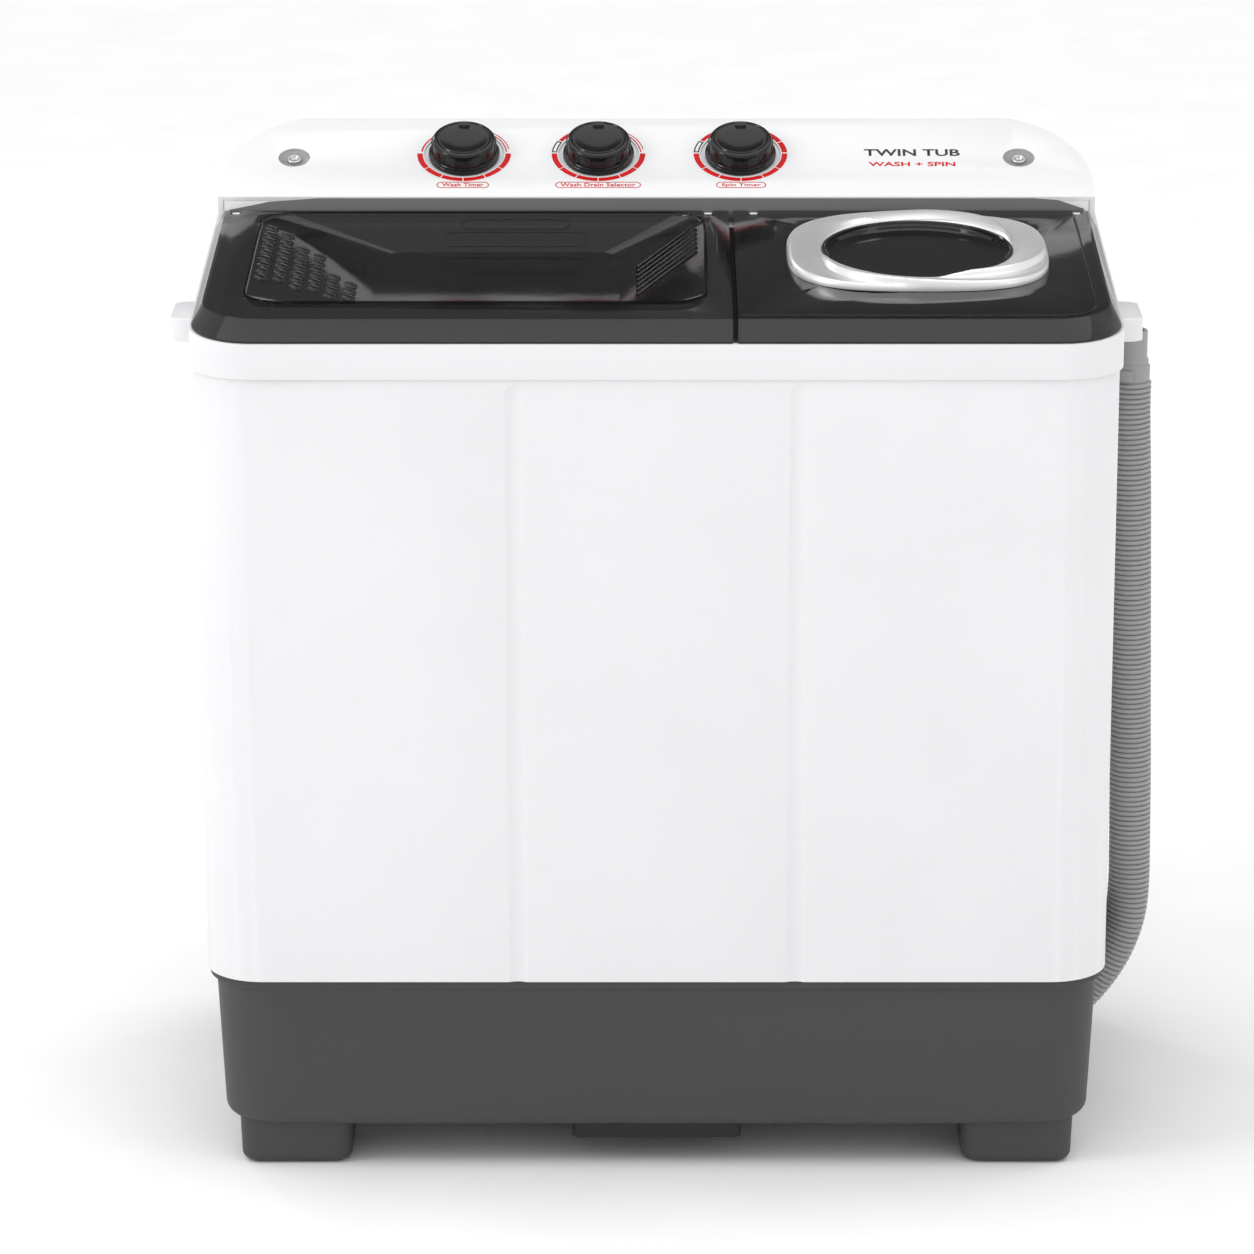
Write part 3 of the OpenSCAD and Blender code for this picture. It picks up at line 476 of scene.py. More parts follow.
# %% Corrugated hose
RIB_PITCH = 0.0043
ribs = round(hose_length / RIB_PITCH)
pitch = hose_length / ribs
crest, groove = HOSE_D / 2, HOSE_D / 2 - 0.0021
rib_profile = [
    (groove, 0), (groove, 0.13), (crest - 0.0003, 0.24), (crest, 0.40), (crest, 0.72),
    (crest - 0.0003, 0.88), (groove, 1),
]
hose = turned("drain_hose_bellows", [(r, z * pitch) for r, z in rib_profile], 36, False)
modified(hose, "ARRAY", count=ribs, use_relative_offset=False, use_constant_offset=True,
         constant_offset_displace=(0, 0, pitch), use_merge_vertices=True,
         merge_threshold=1e-5)
modified(hose, "CURVE", object=hose_line, deform_axis="POS_Z")
edit(hose, "VERT", everything,
     lambda: bpy.ops.mesh.fill_holes(sides=0),
     lambda: bpy.ops.mesh.select_all(action="SELECT"),
     lambda: bpy.ops.mesh.normals_make_consistent(inside=False))
bpy.data.objects.remove(hose_line)
dressed(hose, "drain_hose", smooth=60)

# %% [markdown]
# The hose's free end is a smooth cuff with a thin collar and a narrower spout, open at the
# top. Its wall is turned inside and out in one profile.

# %% Cuff and spout
cuff = turned("drain_hose_spout", [
    (0.0110, 0.6190), (0.0110, 0.6570), (0.0130, 0.6570), (0.0135, 0.6565),
    (0.0135, 0.6345), (0.0142, 0.6335), (0.0147, 0.6325), (0.0147, 0.6290),
    (0.0157, 0.6280), (0.0160, 0.6272), (0.0160, 0.6155), (0.0157, 0.6150),
    (0.0110, 0.6150), (0.0110, 0.6190),
], 48)
placed(cuff, at(ROUTE[0][0], HOSE_Y, 0))
dressed(cuff, "drain_hose_cuff")
dressed(rounded(merged_copy("hose_clip"), 0.0006), "hose_clip", finish=finishes["hose_plastic"])

# %% [markdown]
# ## Cabinet
# The cabinet is one tall white shell with round corners. Two shallow channels run down its
# front; they stiffen the wide wall and end in round tops. A box is rounded at its upright
# corners, hollowed by deleting its ends and giving the wall a thickness, and a round bar
# with a ball on top cuts each channel, so the channel is hollow like the mark of a finger.

# %% Cabinet shell
FRONT, REAR = -0.213, 0.211
HALF_W = 0.367
CAB_LOW, CAB_TOP = 0.1675, 0.676
WALL = 0.003


def upright(middle, way):
    """An edge that stands."""
    return abs(way.z) > 0.9


cabinet = start("cube", "cabinet_shell", (2 * HALF_W, REAR - FRONT, CAB_TOP - CAB_LOW),
                size=1, location=(0, (FRONT + REAR) / 2, (CAB_LOW + CAB_TOP) / 2))
edit(cabinet, "EDGE", upright, lambda: bpy.ops.mesh.bevel(offset=0.048, segments=14))
edit(cabinet, "FACE", lambda middle, way: abs(way.z) > 0.9,
     lambda: bpy.ops.mesh.delete(type="FACE"))
modified(cabinet, "SOLIDIFY", thickness=WALL, offset=-1, use_even_offset=True)

# %% Channels and the rear opening
CHANNEL_X, CHANNEL_TOP = 0.112, 0.658
CHANNEL_R, CHANNEL_DEPTH = 0.015, 0.0019
BAR_LENGTH = 0.52
for x in (-CHANNEL_X, CHANNEL_X):
    out = FRONT - (CHANNEL_R - CHANNEL_DEPTH)
    bar = start("cylinder", "bar", vertices=48, radius=CHANNEL_R, depth=BAR_LENGTH,
                location=(x, out, CHANNEL_TOP - BAR_LENGTH / 2))
    ball = start("uv_sphere", "ball", segments=48, ring_count=24, radius=CHANNEL_R,
                 location=(x, out, CHANNEL_TOP))
    cut(cabinet, cut(bar, ball, operation="UNION"))
cut(cabinet, start("cube", "window", (0.570, 0.020, 0.430), size=1,
                   location=(0, REAR, 0.420)))
rounded(cabinet, 0.0008, 18)
dressed(cabinet, "cabinet", smooth=25)

# %% [markdown]
# ## Base
# The base is a deep grey tray of grained plastic. It is a little narrower than the cabinet,
# its lower edge is round so that it leaves the mould, and it widens into a rim under the
# cabinet. The tray is grown from a box: corners first, then the rim by extruding the top
# face, then the hollow.

# %% Base tray
BASE_HALF_W, BASE_HALF_D = 0.360, 0.206
tray = start("cube", "base_tray", (2 * BASE_HALF_W, 2 * BASE_HALF_D, 0.119), size=1,
             location=(0, 0, 0.0975))
edit(tray, "EDGE", upright, lambda: bpy.ops.mesh.bevel(offset=0.046, segments=12))
edit(tray, "FACE", lambda middle, way: way.z < -0.9,
     lambda: bpy.ops.transform.resize(value=(0.985, 0.985, 1), center_override=(0, 0, 0.04)))
edit(tray, "EDGE", lambda middle, way: middle.z < 0.0385 and abs(way.z) < 0.1,
     lambda: bpy.ops.mesh.bevel(offset=0.009, segments=5))


def grow_rim():
    """Widens the tray into its rim and sinks its hollow."""
    rim_x = (HALF_W - 0.002) / BASE_HALF_W
    rim_y = 0.2095 / BASE_HALF_D
    inner_x = (HALF_W - 0.005) / (HALF_W - 0.002)
    inner_y = 0.2065 / 0.2095
    bpy.ops.mesh.extrude_region_move(TRANSFORM_OT_translate={"value": (0, 0, 0.004)})
    bpy.ops.transform.resize(value=(rim_x, rim_y, 1), center_override=(0, 0, 0.161))
    bpy.ops.mesh.extrude_region_move(TRANSFORM_OT_translate={"value": (0, 0, 0.0065)})
    bpy.ops.mesh.extrude_region_move(TRANSFORM_OT_translate={"value": (0, 0, 0)})
    bpy.ops.transform.resize(value=(inner_x, inner_y, 1), center_override=(0, 0, 0.1675))
    bpy.ops.mesh.extrude_region_move(TRANSFORM_OT_translate={"value": (0, 0, -0.010)})
    bpy.ops.transform.resize(value=(0.980, 0.978, 1), center_override=(0, 0, 0.1575))
    bpy.ops.mesh.extrude_region_move(TRANSFORM_OT_translate={"value": (0, 0, -0.1145)})
    bpy.ops.transform.resize(value=(0.985, 0.975, 1), center_override=(0, 0, 0.043))


edit(tray, "FACE", lambda middle, way: way.z > 0.9, grow_rim)
hose_hole = start("cylinder", "hose_hole", vertices=48, radius=HOSE_D / 2 + 0.002,
                  depth=0.07)
placed(hose_hole, at(ROUTE[-1][0] + 0.02, HOSE_Y, ROUTE[-1][2] + 0.017)
       @ Matrix.Rotation(math.radians(49), 4, "Y"))
cut(tray, hose_hole)
rounded(tray, 0.0012, 40)

# %% Spring cups in the tray
cup = turned("cup", [(0.017, 0.050), (0.017, 0.059), (0.0175, 0.0595), (0.0195, 0.0595),
                     (0.020, 0.059), (0.020, 0.0425), (0.001, 0.0425), (0.001, 0.050),
                     (0.017, 0.050)])
SPIN_AXIS = (0.210, -0.049)
SPRING_CIRCLE_R = 0.08
cups = [
    copied(cup, "cup_copy",
           at(SPIN_AXIS[0] + SPRING_CIRCLE_R * math.cos(math.radians(turn)),
              SPIN_AXIS[1] + SPRING_CIRCLE_R * math.sin(math.radians(turn)), 0))
    for turn in (90, 210, 330)
]
bpy.data.objects.remove(cup)
dressed(joined("base_tray", [tray, *cups]), "base")

# %% [markdown]
# Four hollow legs carry the tray. Each one tapers towards the floor and has a rubber pad.
# One leg is shaped and the other three are copies.

# %% Legs
FEET = [(sx * 0.296, sy * 0.150) for sx in (-1, 1) for sy in (-1, 1)]
leg = start("cube", "leg", (0.093, 0.084, 0.040), size=1, location=(0, 0, 0.0212))
edit(leg, "EDGE", upright, lambda: bpy.ops.mesh.bevel(offset=0.014, segments=6))
edit(leg, "FACE", lambda middle, way: way.z < -0.9,
     lambda: bpy.ops.transform.resize(value=(0.97, 0.97, 1), center_override=(0, 0, 0)))
edit(leg, "EDGE", lambda middle, way: middle.z < 0.0015 and abs(way.z) < 0.1,
     lambda: bpy.ops.mesh.bevel(offset=0.007, segments=5))
legs = [copied(leg, "leg_copy", at(x, y, 0)) for x, y in FEET]
bpy.data.objects.remove(leg)
dressed(joined("base_leg_set", legs), "base_legs")
pad = start("cube", "pad", (0.066, 0.056, 0.003), size=1, location=(0, 0, 0.0015))
edit(pad, "EDGE", upright, lambda: bpy.ops.mesh.bevel(offset=0.010, segments=5))
rounded(pad, 0.0008, 40)
pads = [copied(pad, "pad_copy", at(x, y, 0)) for x, y in FEET]
bpy.data.objects.remove(pad)
dressed(joined("foot_pad_set", pads), "foot_pads")
softened("bottom_cover", 0.0016, segments=3)

# %% [markdown]
# ## Top frame and control panel
# The top frame closes the cabinet, carries the lids' hinges and has a handle on each side.
# The control panel stands behind the lids and slopes towards the user. Both keep the
# model's shape and get rounded edges: small ones on the frame, larger ones on the panel's
# outline. The handles are low hoods, so their copy is made shorter and lower from its top
# edge before it is rounded.

# %% Top frame and handles
HANDLE_Y, HANDLE_TOP = -0.060, 0.690
softened("top_frame", 0.0014, 45, 3)
handles = merged_copy("side_handles")
edit(handles, "VERT", everything,
     lambda: bpy.ops.transform.resize(value=(1, 0.64, 0.56),
                                      center_override=(0, HANDLE_Y, HANDLE_TOP)))
dressed(rounded(handles, 0.0014, 45, 3), "side_handles")

# %% Control panel
PANEL = at(0, 0.108, 0.748) @ Matrix.Rotation(math.radians(23.86), 4, "X")
panel = merged_copy("control_panel")
rounded(panel, 0.0012, 45, 3)
dressed(panel, "control_panel")
front_wall = start("cube", "panel_front_wall", (0.724, 0.0020, 0.0215), size=1,
                   location=(0, 0.1092, 0.73475))
dressed(rounded(front_wall, 0.0003, 60), body="root", slot="panel_plastic")

# %% [markdown]
# Two screws hold the panel, each at the bottom of a recess in a dished cup with a pale
# washer; the cup's grey colour is painted shade for the recess. Six plain ones hold the rear
# cover.

# %% Screws
screw_cup = turned("screw_cup", [
    (0.0131, -0.0040), (0.0131, -0.0008), (0.0126, -0.0006), (0.0120, -0.0012),
    (0.0072, -0.0031), (0.0060, -0.0033), (0.0060, -0.0040), (0.0131, -0.0040),
], 64)
screw_head = turned("screw_head", [
    (0.0060, -0.0040), (0.0060, -0.0012), (0.0056, -0.0007), (0.0048, -0.0005),
    (0.0040, -0.0007), (0.0027, -0.0024), (0.0006, -0.0026), (0.0006, -0.0140),
    (0.0020, -0.0140), (0.0020, -0.0040), (0.0060, -0.0040),
], 48)
SCREWS = [(-0.306, 0.0565), (0.306, 0.0565)]
cups_made = [copied(screw_cup, "cup_copy", PANEL @ at(x, v, 0)) for x, v in SCREWS]
bpy.data.objects.remove(screw_cup)
# the cups' grey is painted shade: it darkens the screw recesses as their own shade would
dressed(joined("screw_cups_painted_shade", cups_made),
        finish=moulded("screw_recess_painted_shade", (0.27, 0.27, 0.275), 0.35, 900, 0.1),
        body="root", slot="black_plastic")
heads = [copied(screw_head, "head_copy", PANEL @ at(x, v, 0)) for x, v in SCREWS]
bpy.data.objects.remove(screw_head)
rear_screw = turned("rear_screw", [
    (0.0002, 0.0002), (0.0020, 0.0002), (0.0022, 0.0010), (0.0045, 0.0006), (0.0044, 0.0002),
    (0.0045, -0.0001), (0.0018, -0.0001), (0.0018, -0.0025), (0.0002, -0.0025),
], 32)
heads += [
    copied(rear_screw, "rear_copy",
           at(x, REAR + 0.0026, z) @ Matrix.Rotation(math.radians(-90), 4, "X"))
    for x in (-0.2925, 0.2925) for z in (0.215, 0.420, 0.625)
]
bpy.data.objects.remove(rear_screw)
dressed(joined("screw_heads", heads), "panel_screws")

# %% [markdown]
# ## Knobs
# Each knob is a skirt with a tall grip on it. The grip has shallow hollows for the fingers
# and fine ribs between them, its top is slightly dished inside a thin ring, and a notch at
# the back points to the dial. The grip is turned, the hollows are cut by large round bars,
# and the ribs are grown from single faces of the grip's side.

# %% One knob
KNOB_V = 0.062
knob = turned("knob", [
    (0.0300, -0.0014), (0.0300, 0.0016), (0.0296, 0.0021), (0.0276, 0.0024),
    (0.0270, 0.0030), (0.0268, 0.0130), (0.0264, 0.0144), (0.0256, 0.0154),
    (0.0244, 0.0160), (0.0233, 0.0162), (0.0229, 0.0154), (0.0222, 0.0152),
    (0.0218, 0.0160), (0.0214, 0.0164), (0.0206, 0.0165), (0.0198, 0.0163),
    (0.0120, 0.0159), (0.0040, 0.0158),
], 144)


def on_ribs(middle, way):
    """Every second face of the grip's side, in four groups of five."""
    if not 0.004 < middle.z < 0.0125 or abs(way.z) > 0.3:
        return False
    turn = math.degrees(math.atan2(middle.y, middle.x)) % 90
    turn = (turn + 45) % 90 - 45
    return abs(turn) < 14 and round((turn + 90) / 2.5 - 0.5) % 2 == 0


edit(knob, "FACE", on_ribs,
     lambda: bpy.ops.mesh.extrude_faces_move(TRANSFORM_OT_shrink_fatten={"value": 0.0006}))
for turn in (45, 135, 225, 315):
    bar = start("cylinder", "finger", vertices=96, radius=0.022, depth=0.0098,
                location=(0.0475 * math.cos(math.radians(turn)),
                          0.0475 * math.sin(math.radians(turn)), 0.0081))
    cut(knob, bar)
cut(knob, start("cube", "notch", (0.0094, 0.0088, 0.0030), size=1,
                location=(0, 0.0206, 0.0167)))
rounded(knob, 0.0004, 38)
print("knob faces:", len(knob.data.polygons))

# %% Three knobs
KNOBS = {"wash_timer_knob": -0.1626, "selector_knob": -0.049, "spin_timer_knob": 0.071}
for name, x in KNOBS.items():
    dressed(copied(knob, name + "_grip", PANEL @ at(x, KNOB_V, 0)), name)
bpy.data.objects.remove(knob)

# %% [markdown]
# ## Printing
# Dials, frames and words are printed on the panel. Each print is a flat shape a tenth of a
# millimetre thick. A 2D curve fills the space between its outlines by itself, so a ring is
# two outlines, and the curve is made a mesh before it is laid on the slope. The words are
# plain names of functions.

# %% Flat prints
INK = 0.00012


def flat(name, loops, thick=INK):
    """A flat shape between outlines: a loop inside another is a hole."""
    sheet = bpy.data.curves.new(name, "CURVE")
    sheet.dimensions = "2D"
    sheet.fill_mode = "BOTH"
    sheet.extrude = thick / 2
    for loop in loops:
        spline = sheet.splines.new("POLY")
        spline.points.add(len(loop) - 1)
        for point, (x, y) in zip(spline.points, loop):
            point.co = (x, y, 0, 1)
        spline.use_cyclic_u = True
    return as_mesh(bpy.data.objects.new(name, sheet))


def as_mesh(made):
    """A curve or text object as a mesh with its points merged."""
    bpy.context.scene.collection.objects.link(made)
    take(made)
    bpy.ops.object.convert(target="MESH")
    piece = bpy.context.object
    edit(piece, "VERT", everything, lambda: bpy.ops.mesh.remove_doubles(threshold=1e-7))
    return piece


def words(name, text, height, width, bold):
    """Printed words, centred, scaled to a height and a width."""
    lettering = bpy.data.curves.new(name, "FONT")
    lettering.body = text
    lettering.align_x = "CENTER"
    lettering.align_y = "CENTER"
    lettering.extrude = INK / 2
    lettering.resolution_u = 3
    lettering.offset = bold
    piece = as_mesh(bpy.data.objects.new(name, lettering))
    across = [point.co.x for point in piece.data.vertices]
    upward = [point.co.y for point in piece.data.vertices]
    wide, tall = max(across) - min(across), max(upward) - min(upward)
    return placed(piece, Matrix.Diagonal((width / wide, height / tall, 1, 1)))


def arc(radius, first, last, steps, x=0.0, y=0.0):
    """Points on an arc, with its angles in degrees."""
    return [
        (x + radius * math.cos(math.radians(first + (last - first) * i / steps)),
         y + radius * math.sin(math.radians(first + (last - first) * i / steps)))
        for i in range(steps + 1)
    ]


def band(inner, outer, first, last, steps=24):
    """One piece of a ring."""
    return arc(outer, first, last, steps) + arc(inner, last, first, steps)


def pill(width, height):
    """A rectangle with half-round ends."""
    r = height / 2
    return arc(r, -90, 90, 10, width / 2 - r) + arc(r, 90, 270, 10, r - width / 2)


def on_panel(piece, x, v):
    """Lays a print on the panel's slope."""
    return placed(piece, PANEL @ at(x, v, INK))


print("print helpers ready")

# %% Dials
TICK = 1.6
BAND_IN, BAND_OUT = 0.0350, 0.0396
STOPS = (179, 214, 241, 270, 299, 326, 361)
for index, (name, x) in enumerate(KNOBS.items()):
    loops = [
        band(BAND_IN, BAND_OUT, a + TICK / 2, b - TICK / 2, 9) for a, b in zip(STOPS, STOPS[1:])
    ]
    if index == 2:
        loops += [band(BAND_IN, BAND_OUT, 3, 26, 8), band(BAND_IN, BAND_OUT, 28, 58, 9)]
    else:
        loops += [band(0.0352, 0.0362, 4, 60, 14), band(0.0378, 0.0386, 10, 56, 12)]
    if index:
        loops += [band(BAND_IN + 0.0004, BAND_OUT - 0.0006, 120, 150, 10)]
        mark = flat(name + "_mark", [band(BAND_IN, BAND_OUT, 152, 177, 8),
                                     band(BAND_IN + 0.0011, BAND_OUT - 0.0011, 154, 175, 8)])
        dressed(on_panel(mark, x, KNOB_V), finish=black_ink, body="root",
                slot="panel_plastic")
    else:
        loops += [band(0.0352, 0.0366, 120, 175, 14)]
    dial = on_panel(flat(name + "_dial", loops), x, KNOB_V)
    dressed(dial, finish=red_ink, body="root", slot="panel_plastic")

# %% Labels and words
LABEL_V = 0.0168
for text, x, width in (("Wash Timer", -0.1626, 0.044), ("Wash Drain Selector", -0.049, 0.072),
                       ("Spin Timer", 0.071, 0.042)):
    stem = text.lower().replace(" ", "_")
    frame_print = flat(stem + "_frame", [pill(width, 0.0086), pill(width - 0.0016, 0.0070)])
    dressed(on_panel(frame_print, x, LABEL_V), finish=red_ink, body="root",
            slot="panel_plastic")
    label = words(stem + "_label", text, 0.0050, width - 0.009, 0.012)
    dressed(on_panel(label, x, LABEL_V), finish=red_ink, body="root", slot="panel_plastic")
for text, v, height, width, ink in (("TWIN TUB", 0.063, 0.0098, 0.081, black_ink),
                                    ("WASH + SPIN", 0.0465, 0.0062, 0.073, red_ink)):
    title = words(text.lower().replace(" ", "_").replace("_+_", "_"), text, height, width,
                  0.02)
    dressed(on_panel(title, 0.216, v), finish=ink, body="root", slot="panel_plastic")

# %% [markdown]
# A smoked strip lies on the panel's upright front wall above the hinges, and slopes down at
# both ends. A black strip lies on the frame under the gap between the two lids; it is painted
# shade that darkens the gap as its shadow would.

# %% Trim and painted shade strip
LID_TILT = Matrix.Rotation(math.radians(4.54), 4, "X")
finishes["smoked_trim"] = moulded("smoked_trim", (0.135, 0.136, 0.14), 0.16, 400, 0.02)
TRIM_LOW, TRIM_TOP = 0.7262, 0.7468
TRIM_END = 0.358
TRIM_SHAPE = [
    (-TRIM_END, TRIM_LOW), (TRIM_END, TRIM_LOW), (TRIM_END, TRIM_TOP - 0.009),
    (0.336, TRIM_TOP - 0.0015), (0.316, TRIM_TOP), (-0.284, TRIM_TOP),
    (-0.324, TRIM_TOP - 0.003), (-TRIM_END, TRIM_TOP - 0.010),
]
trim = flat("hinge_trim", [TRIM_SHAPE], 0.0013)
placed(trim, at(0, 0.1078, 0) @ Matrix.Rotation(math.radians(90), 4, "X"))
dressed(rounded(trim, 0.0004, 60), finish=finishes["smoked_trim"], body="root",
        slot="smoked_plastic")
# black strip under the lid gap: painted shade for the dark gap, not a real seal
gap_shade_strip = start("cube", "lid_gap_painted_shade", (0.012, 0.308, 0.0012), size=1,
             location=(0.062, -0.056, 0))
placed(gap_shade_strip, at(0, 0, 0.71565) @ LID_TILT)
dressed(rounded(gap_shade_strip, 0.0004, 40), finish=finishes["rubber"], body="root", slot="rubber")

# %% [markdown]
# ## Lids
# Both lids are clear smoked plastic, 2.5 mm thick, with a flat top, a sloping front apron
# and a rounded outer corner. They are modelled level, with their top at height 0, and then
# tilted on to the machine. A flat sheet gets its round corner and is extruded up twice; the
# second time it also shrinks towards its inner rear corner, which makes the slopes of the
# apron and the side in one go.

# %% Lid form
LID = at(0, -0.1977, 0.7149) @ LID_TILT
APRON_V, APRON_W, LIP_W = -0.0160, -0.0135, -0.0150
BACK_V = 0.3022
SIDE_SLOPE = 0.008
DEEP = -0.060
LID_WALL = 0.0025


def lid_block(name, inner_x, outer_x):
    """A lid as a solid block that reaches far below its lower edge."""
    width = abs(outer_x - inner_x)
    depth = BACK_V - APRON_V
    block = start("plane", name, (width, depth, 1), size=1,
                  location=((inner_x + outer_x) / 2, (BACK_V + APRON_V) / 2, LIP_W))
    edit(block, "VERT", lambda place, way: abs(place.x - outer_x) < 1e-4 and place.y < 0,
         lambda: bpy.ops.mesh.bevel(offset=0.050, segments=12, affect="VERTICES"))

    def raise_top():
        bpy.ops.mesh.extrude_region_move(
            TRANSFORM_OT_translate={"value": (0, 0, APRON_W - LIP_W)})
        bpy.ops.mesh.extrude_region_move(TRANSFORM_OT_translate={"value": (0, 0, -APRON_W)})
        bpy.ops.transform.resize(
            value=(1 - SIDE_SLOPE / width, 1 + APRON_V / depth, 1),
            center_override=(inner_x, BACK_V, 0))

    edit(block, "FACE", everything, raise_top)
    edit(block, "VERT", everything,
         lambda: bpy.ops.mesh.normals_make_consistent(inside=False))
    edit(block, "FACE", lambda middle, way: way.z < -0.9,
         lambda: bpy.ops.mesh.extrude_region_move(
             TRANSFORM_OT_translate={"value": (0, 0, DEEP - LIP_W)}))
    edit(block, "EDGE",
         lambda middle, way: middle.y > BACK_V - 1e-4 and middle.z > -1e-4,
         lambda: bpy.ops.mesh.bevel(offset=0.0070, segments=5))
    return block


def lid_walls(block, under):
    """Deletes the faces below and gives what is left the lid's thickness."""
    edit(block, "FACE", under, lambda: bpy.ops.mesh.delete(type="FACE"))
    modified(block, "SOLIDIFY", thickness=LID_WALL, offset=-1, use_even_offset=True)
    return block


print("lid helpers ready")

# %% [markdown]
# The wash lid has a sunken scrubbing pan. Its mould core is a sheet with round corners that
# shrinks as it goes down, so the four slopes differ: long on the left, steep at the back.
# The core is cut out of the block before the walls are made.

# %% Wash lid with its pan
PAN_X, PAN_V, PAN_DEPTH = -0.144, 0.163, 0.028
core = start("plane", "pan_core", (0.368, 0.246, 1), size=1, location=(PAN_X, PAN_V, 0.004))
edit(core, "VERT", everything,
     lambda: bpy.ops.mesh.bevel(offset=0.030, segments=8, affect="VERTICES"))


def sink():
    """Goes down to the pan's floor."""
    bpy.ops.mesh.extrude_region_move(TRANSFORM_OT_translate={"value": (0, 0, -0.004)})
    bpy.ops.mesh.extrude_region_move(
        TRANSFORM_OT_translate={"value": (0.014, 0.006, -PAN_DEPTH)})
    bpy.ops.transform.resize(value=(0.200 / 0.368, 0.200 / 0.246, 1),
                             center_override=(PAN_X + 0.014, PAN_V + 0.006, -PAN_DEPTH))


edit(core, "FACE", everything, sink)
edit(core, "VERT", everything, lambda: bpy.ops.mesh.normals_make_consistent(inside=False))
WASH_IN, WASH_OUT = 0.060, -0.368
wash_lid = lid_block("wash_lid_shell", WASH_IN, WASH_OUT)
cut(wash_lid, core)


def pan_edge(middle, way):
    """The edge where the flat top meets the pan."""
    return (abs(middle.z) < 1e-4 and -0.335 < middle.x < 0.046
            and 0.030 < middle.y < 0.290)


def under_wash(middle, way):
    """The block's foot and its outer walls below the lip, but not the pan's floor."""
    over_pan = (WASH_OUT + 0.015 < middle.x < WASH_IN - 0.015) and 0.02 < middle.y < 0.295
    return middle.z < -0.02 and (way.z < -0.9 or not over_pan)


lid_walls(wash_lid, under_wash)
edit(wash_lid, "EDGE", pan_edge, lambda: bpy.ops.mesh.bevel(offset=0.0022, segments=4))

# %% Hinge slots
EAR_W = 0.006
HINGE_V, HINGE_W = 0.2950, -0.0076


def hinge_slots(lid, ears):
    """Clears the lid's rear for its swing and for the frame's ears."""
    cut(lid, start("cube", "swing_room", (0.9, 0.020, 0.080), size=1,
                   location=(0, HINGE_V + 0.0105, HINGE_W - 0.0384)))
    for x in ears:
        cut(lid, start("cube", "slot", (EAR_W + 0.002, 0.034, 0.040), size=1,
                       location=(x + EAR_W / 2, HINGE_V + 0.008, HINGE_W)))
    return lid


hinge_slots(wash_lid, (-0.354, 0.040))
rounded(wash_lid, 0.0007, 14)
dressed(placed(wash_lid, LID), "wash_lid", smooth=25)

# %% [markdown]
# The pan's left slope has rows of six-sided bumps, and its right slope has long ribs; both
# rub the laundry. One bump is a low six-sided cone with its top cut flat. One rib is a
# half-round bar with closed ends.

# %% Bumps and ribs
bump = start("cylinder", "bump", vertices=6, radius=0.0083, depth=0.0036)
edit(bump, "FACE", lambda middle, way: way.z > 0.9,
     lambda: bpy.ops.transform.resize(value=(0.55, 0.55, 1), center_override=(0, 0, 0.002)))
rounded(bump, 0.0006, 20)
LEFT_SLOPE = math.atan2(PAN_DEPTH, 0.098)
BUMP_FIRST, BUMP_STEP, BUMP_ROW = 0.118, 0.0168, 0.0145
left_plane = at(-0.328, 0, 0) @ Matrix.Rotation(LEFT_SLOPE, 4, "Y")
bumps = [
    copied(bump, "bump_copy",
           left_plane @ at(0.010 + BUMP_ROW * i,
                           BUMP_FIRST + BUMP_STEP * (j + (i % 2) / 2), 0.0002))
    for i in range(6) for j in range(9)
    if BUMP_FIRST + BUMP_STEP * j < 0.268 - 0.021 * i
]
bpy.data.objects.remove(bump)
dressed(placed(joined("wash_lid_bumps", bumps), LID), body="wash_lid",
        slot="smoked_plastic", smooth=20)

# %% Ribs
RIGHT_SLOPE = math.atan2(PAN_DEPTH, 0.070)
rib = start("cylinder", "rib", vertices=12, radius=0.0016, depth=0.078,
            rotation=(math.pi / 2, 0, 0))
rounded(rib, 0.0006, 50)
right_plane = at(0.040, 0, 0) @ Matrix.Rotation(-RIGHT_SLOPE, 4, "Y")
ribs_made = [
    copied(rib, "rib_copy", right_plane @ at(-0.034, 0.236 - 0.0125 * i, 0.0004)
           @ Matrix.Rotation(math.radians(-42), 4, "Z"))
    for i in range(7)
]
bpy.data.objects.remove(rib)
dressed(placed(joined("wash_lid_ribs", ribs_made), LID), body="wash_lid",
        slot="smoked_plastic", smooth=40)

# %% [markdown]
# A pill-shaped outline on the pan's rear slope marks where the fingers lift the lid, with
# a second, wider outline below it.

# %% Grip outline
def raised_line(name, points, radius, closed=False):
    """A thin round bead along the points."""
    line = bpy.data.curves.new(name, "CURVE")
    line.dimensions = "3D"
    line.bevel_depth = radius
    line.bevel_resolution = 2
    line.use_fill_caps = True
    spline = line.splines.new("POLY")
    spline.points.add(len(points) - 1)
    for point, (x, y) in zip(spline.points, points):
        point.co = (x, y, 0, 1)
    spline.use_cyclic_u = closed
    return as_mesh(bpy.data.objects.new(name, line))


REAR_SLOPE = math.atan2(PAN_DEPTH, 0.017)
rear_plane = at(-0.117, 0.286, 0) @ Matrix.Rotation(REAR_SLOPE, 4, "X")
grip = joined("wash_lid_grip", [
    placed(raised_line("pill_line", pill(0.088, 0.0082), 0.00055, True),
           rear_plane @ at(0, -0.0085, 0)),
    placed(raised_line("wide_line", pill(0.118, 0.0120), 0.00045, True),
           rear_plane @ at(0, -0.0215, 0)),
])
dressed(placed(grip, LID), body="wash_lid", slot="smoked_plastic", smooth=60)
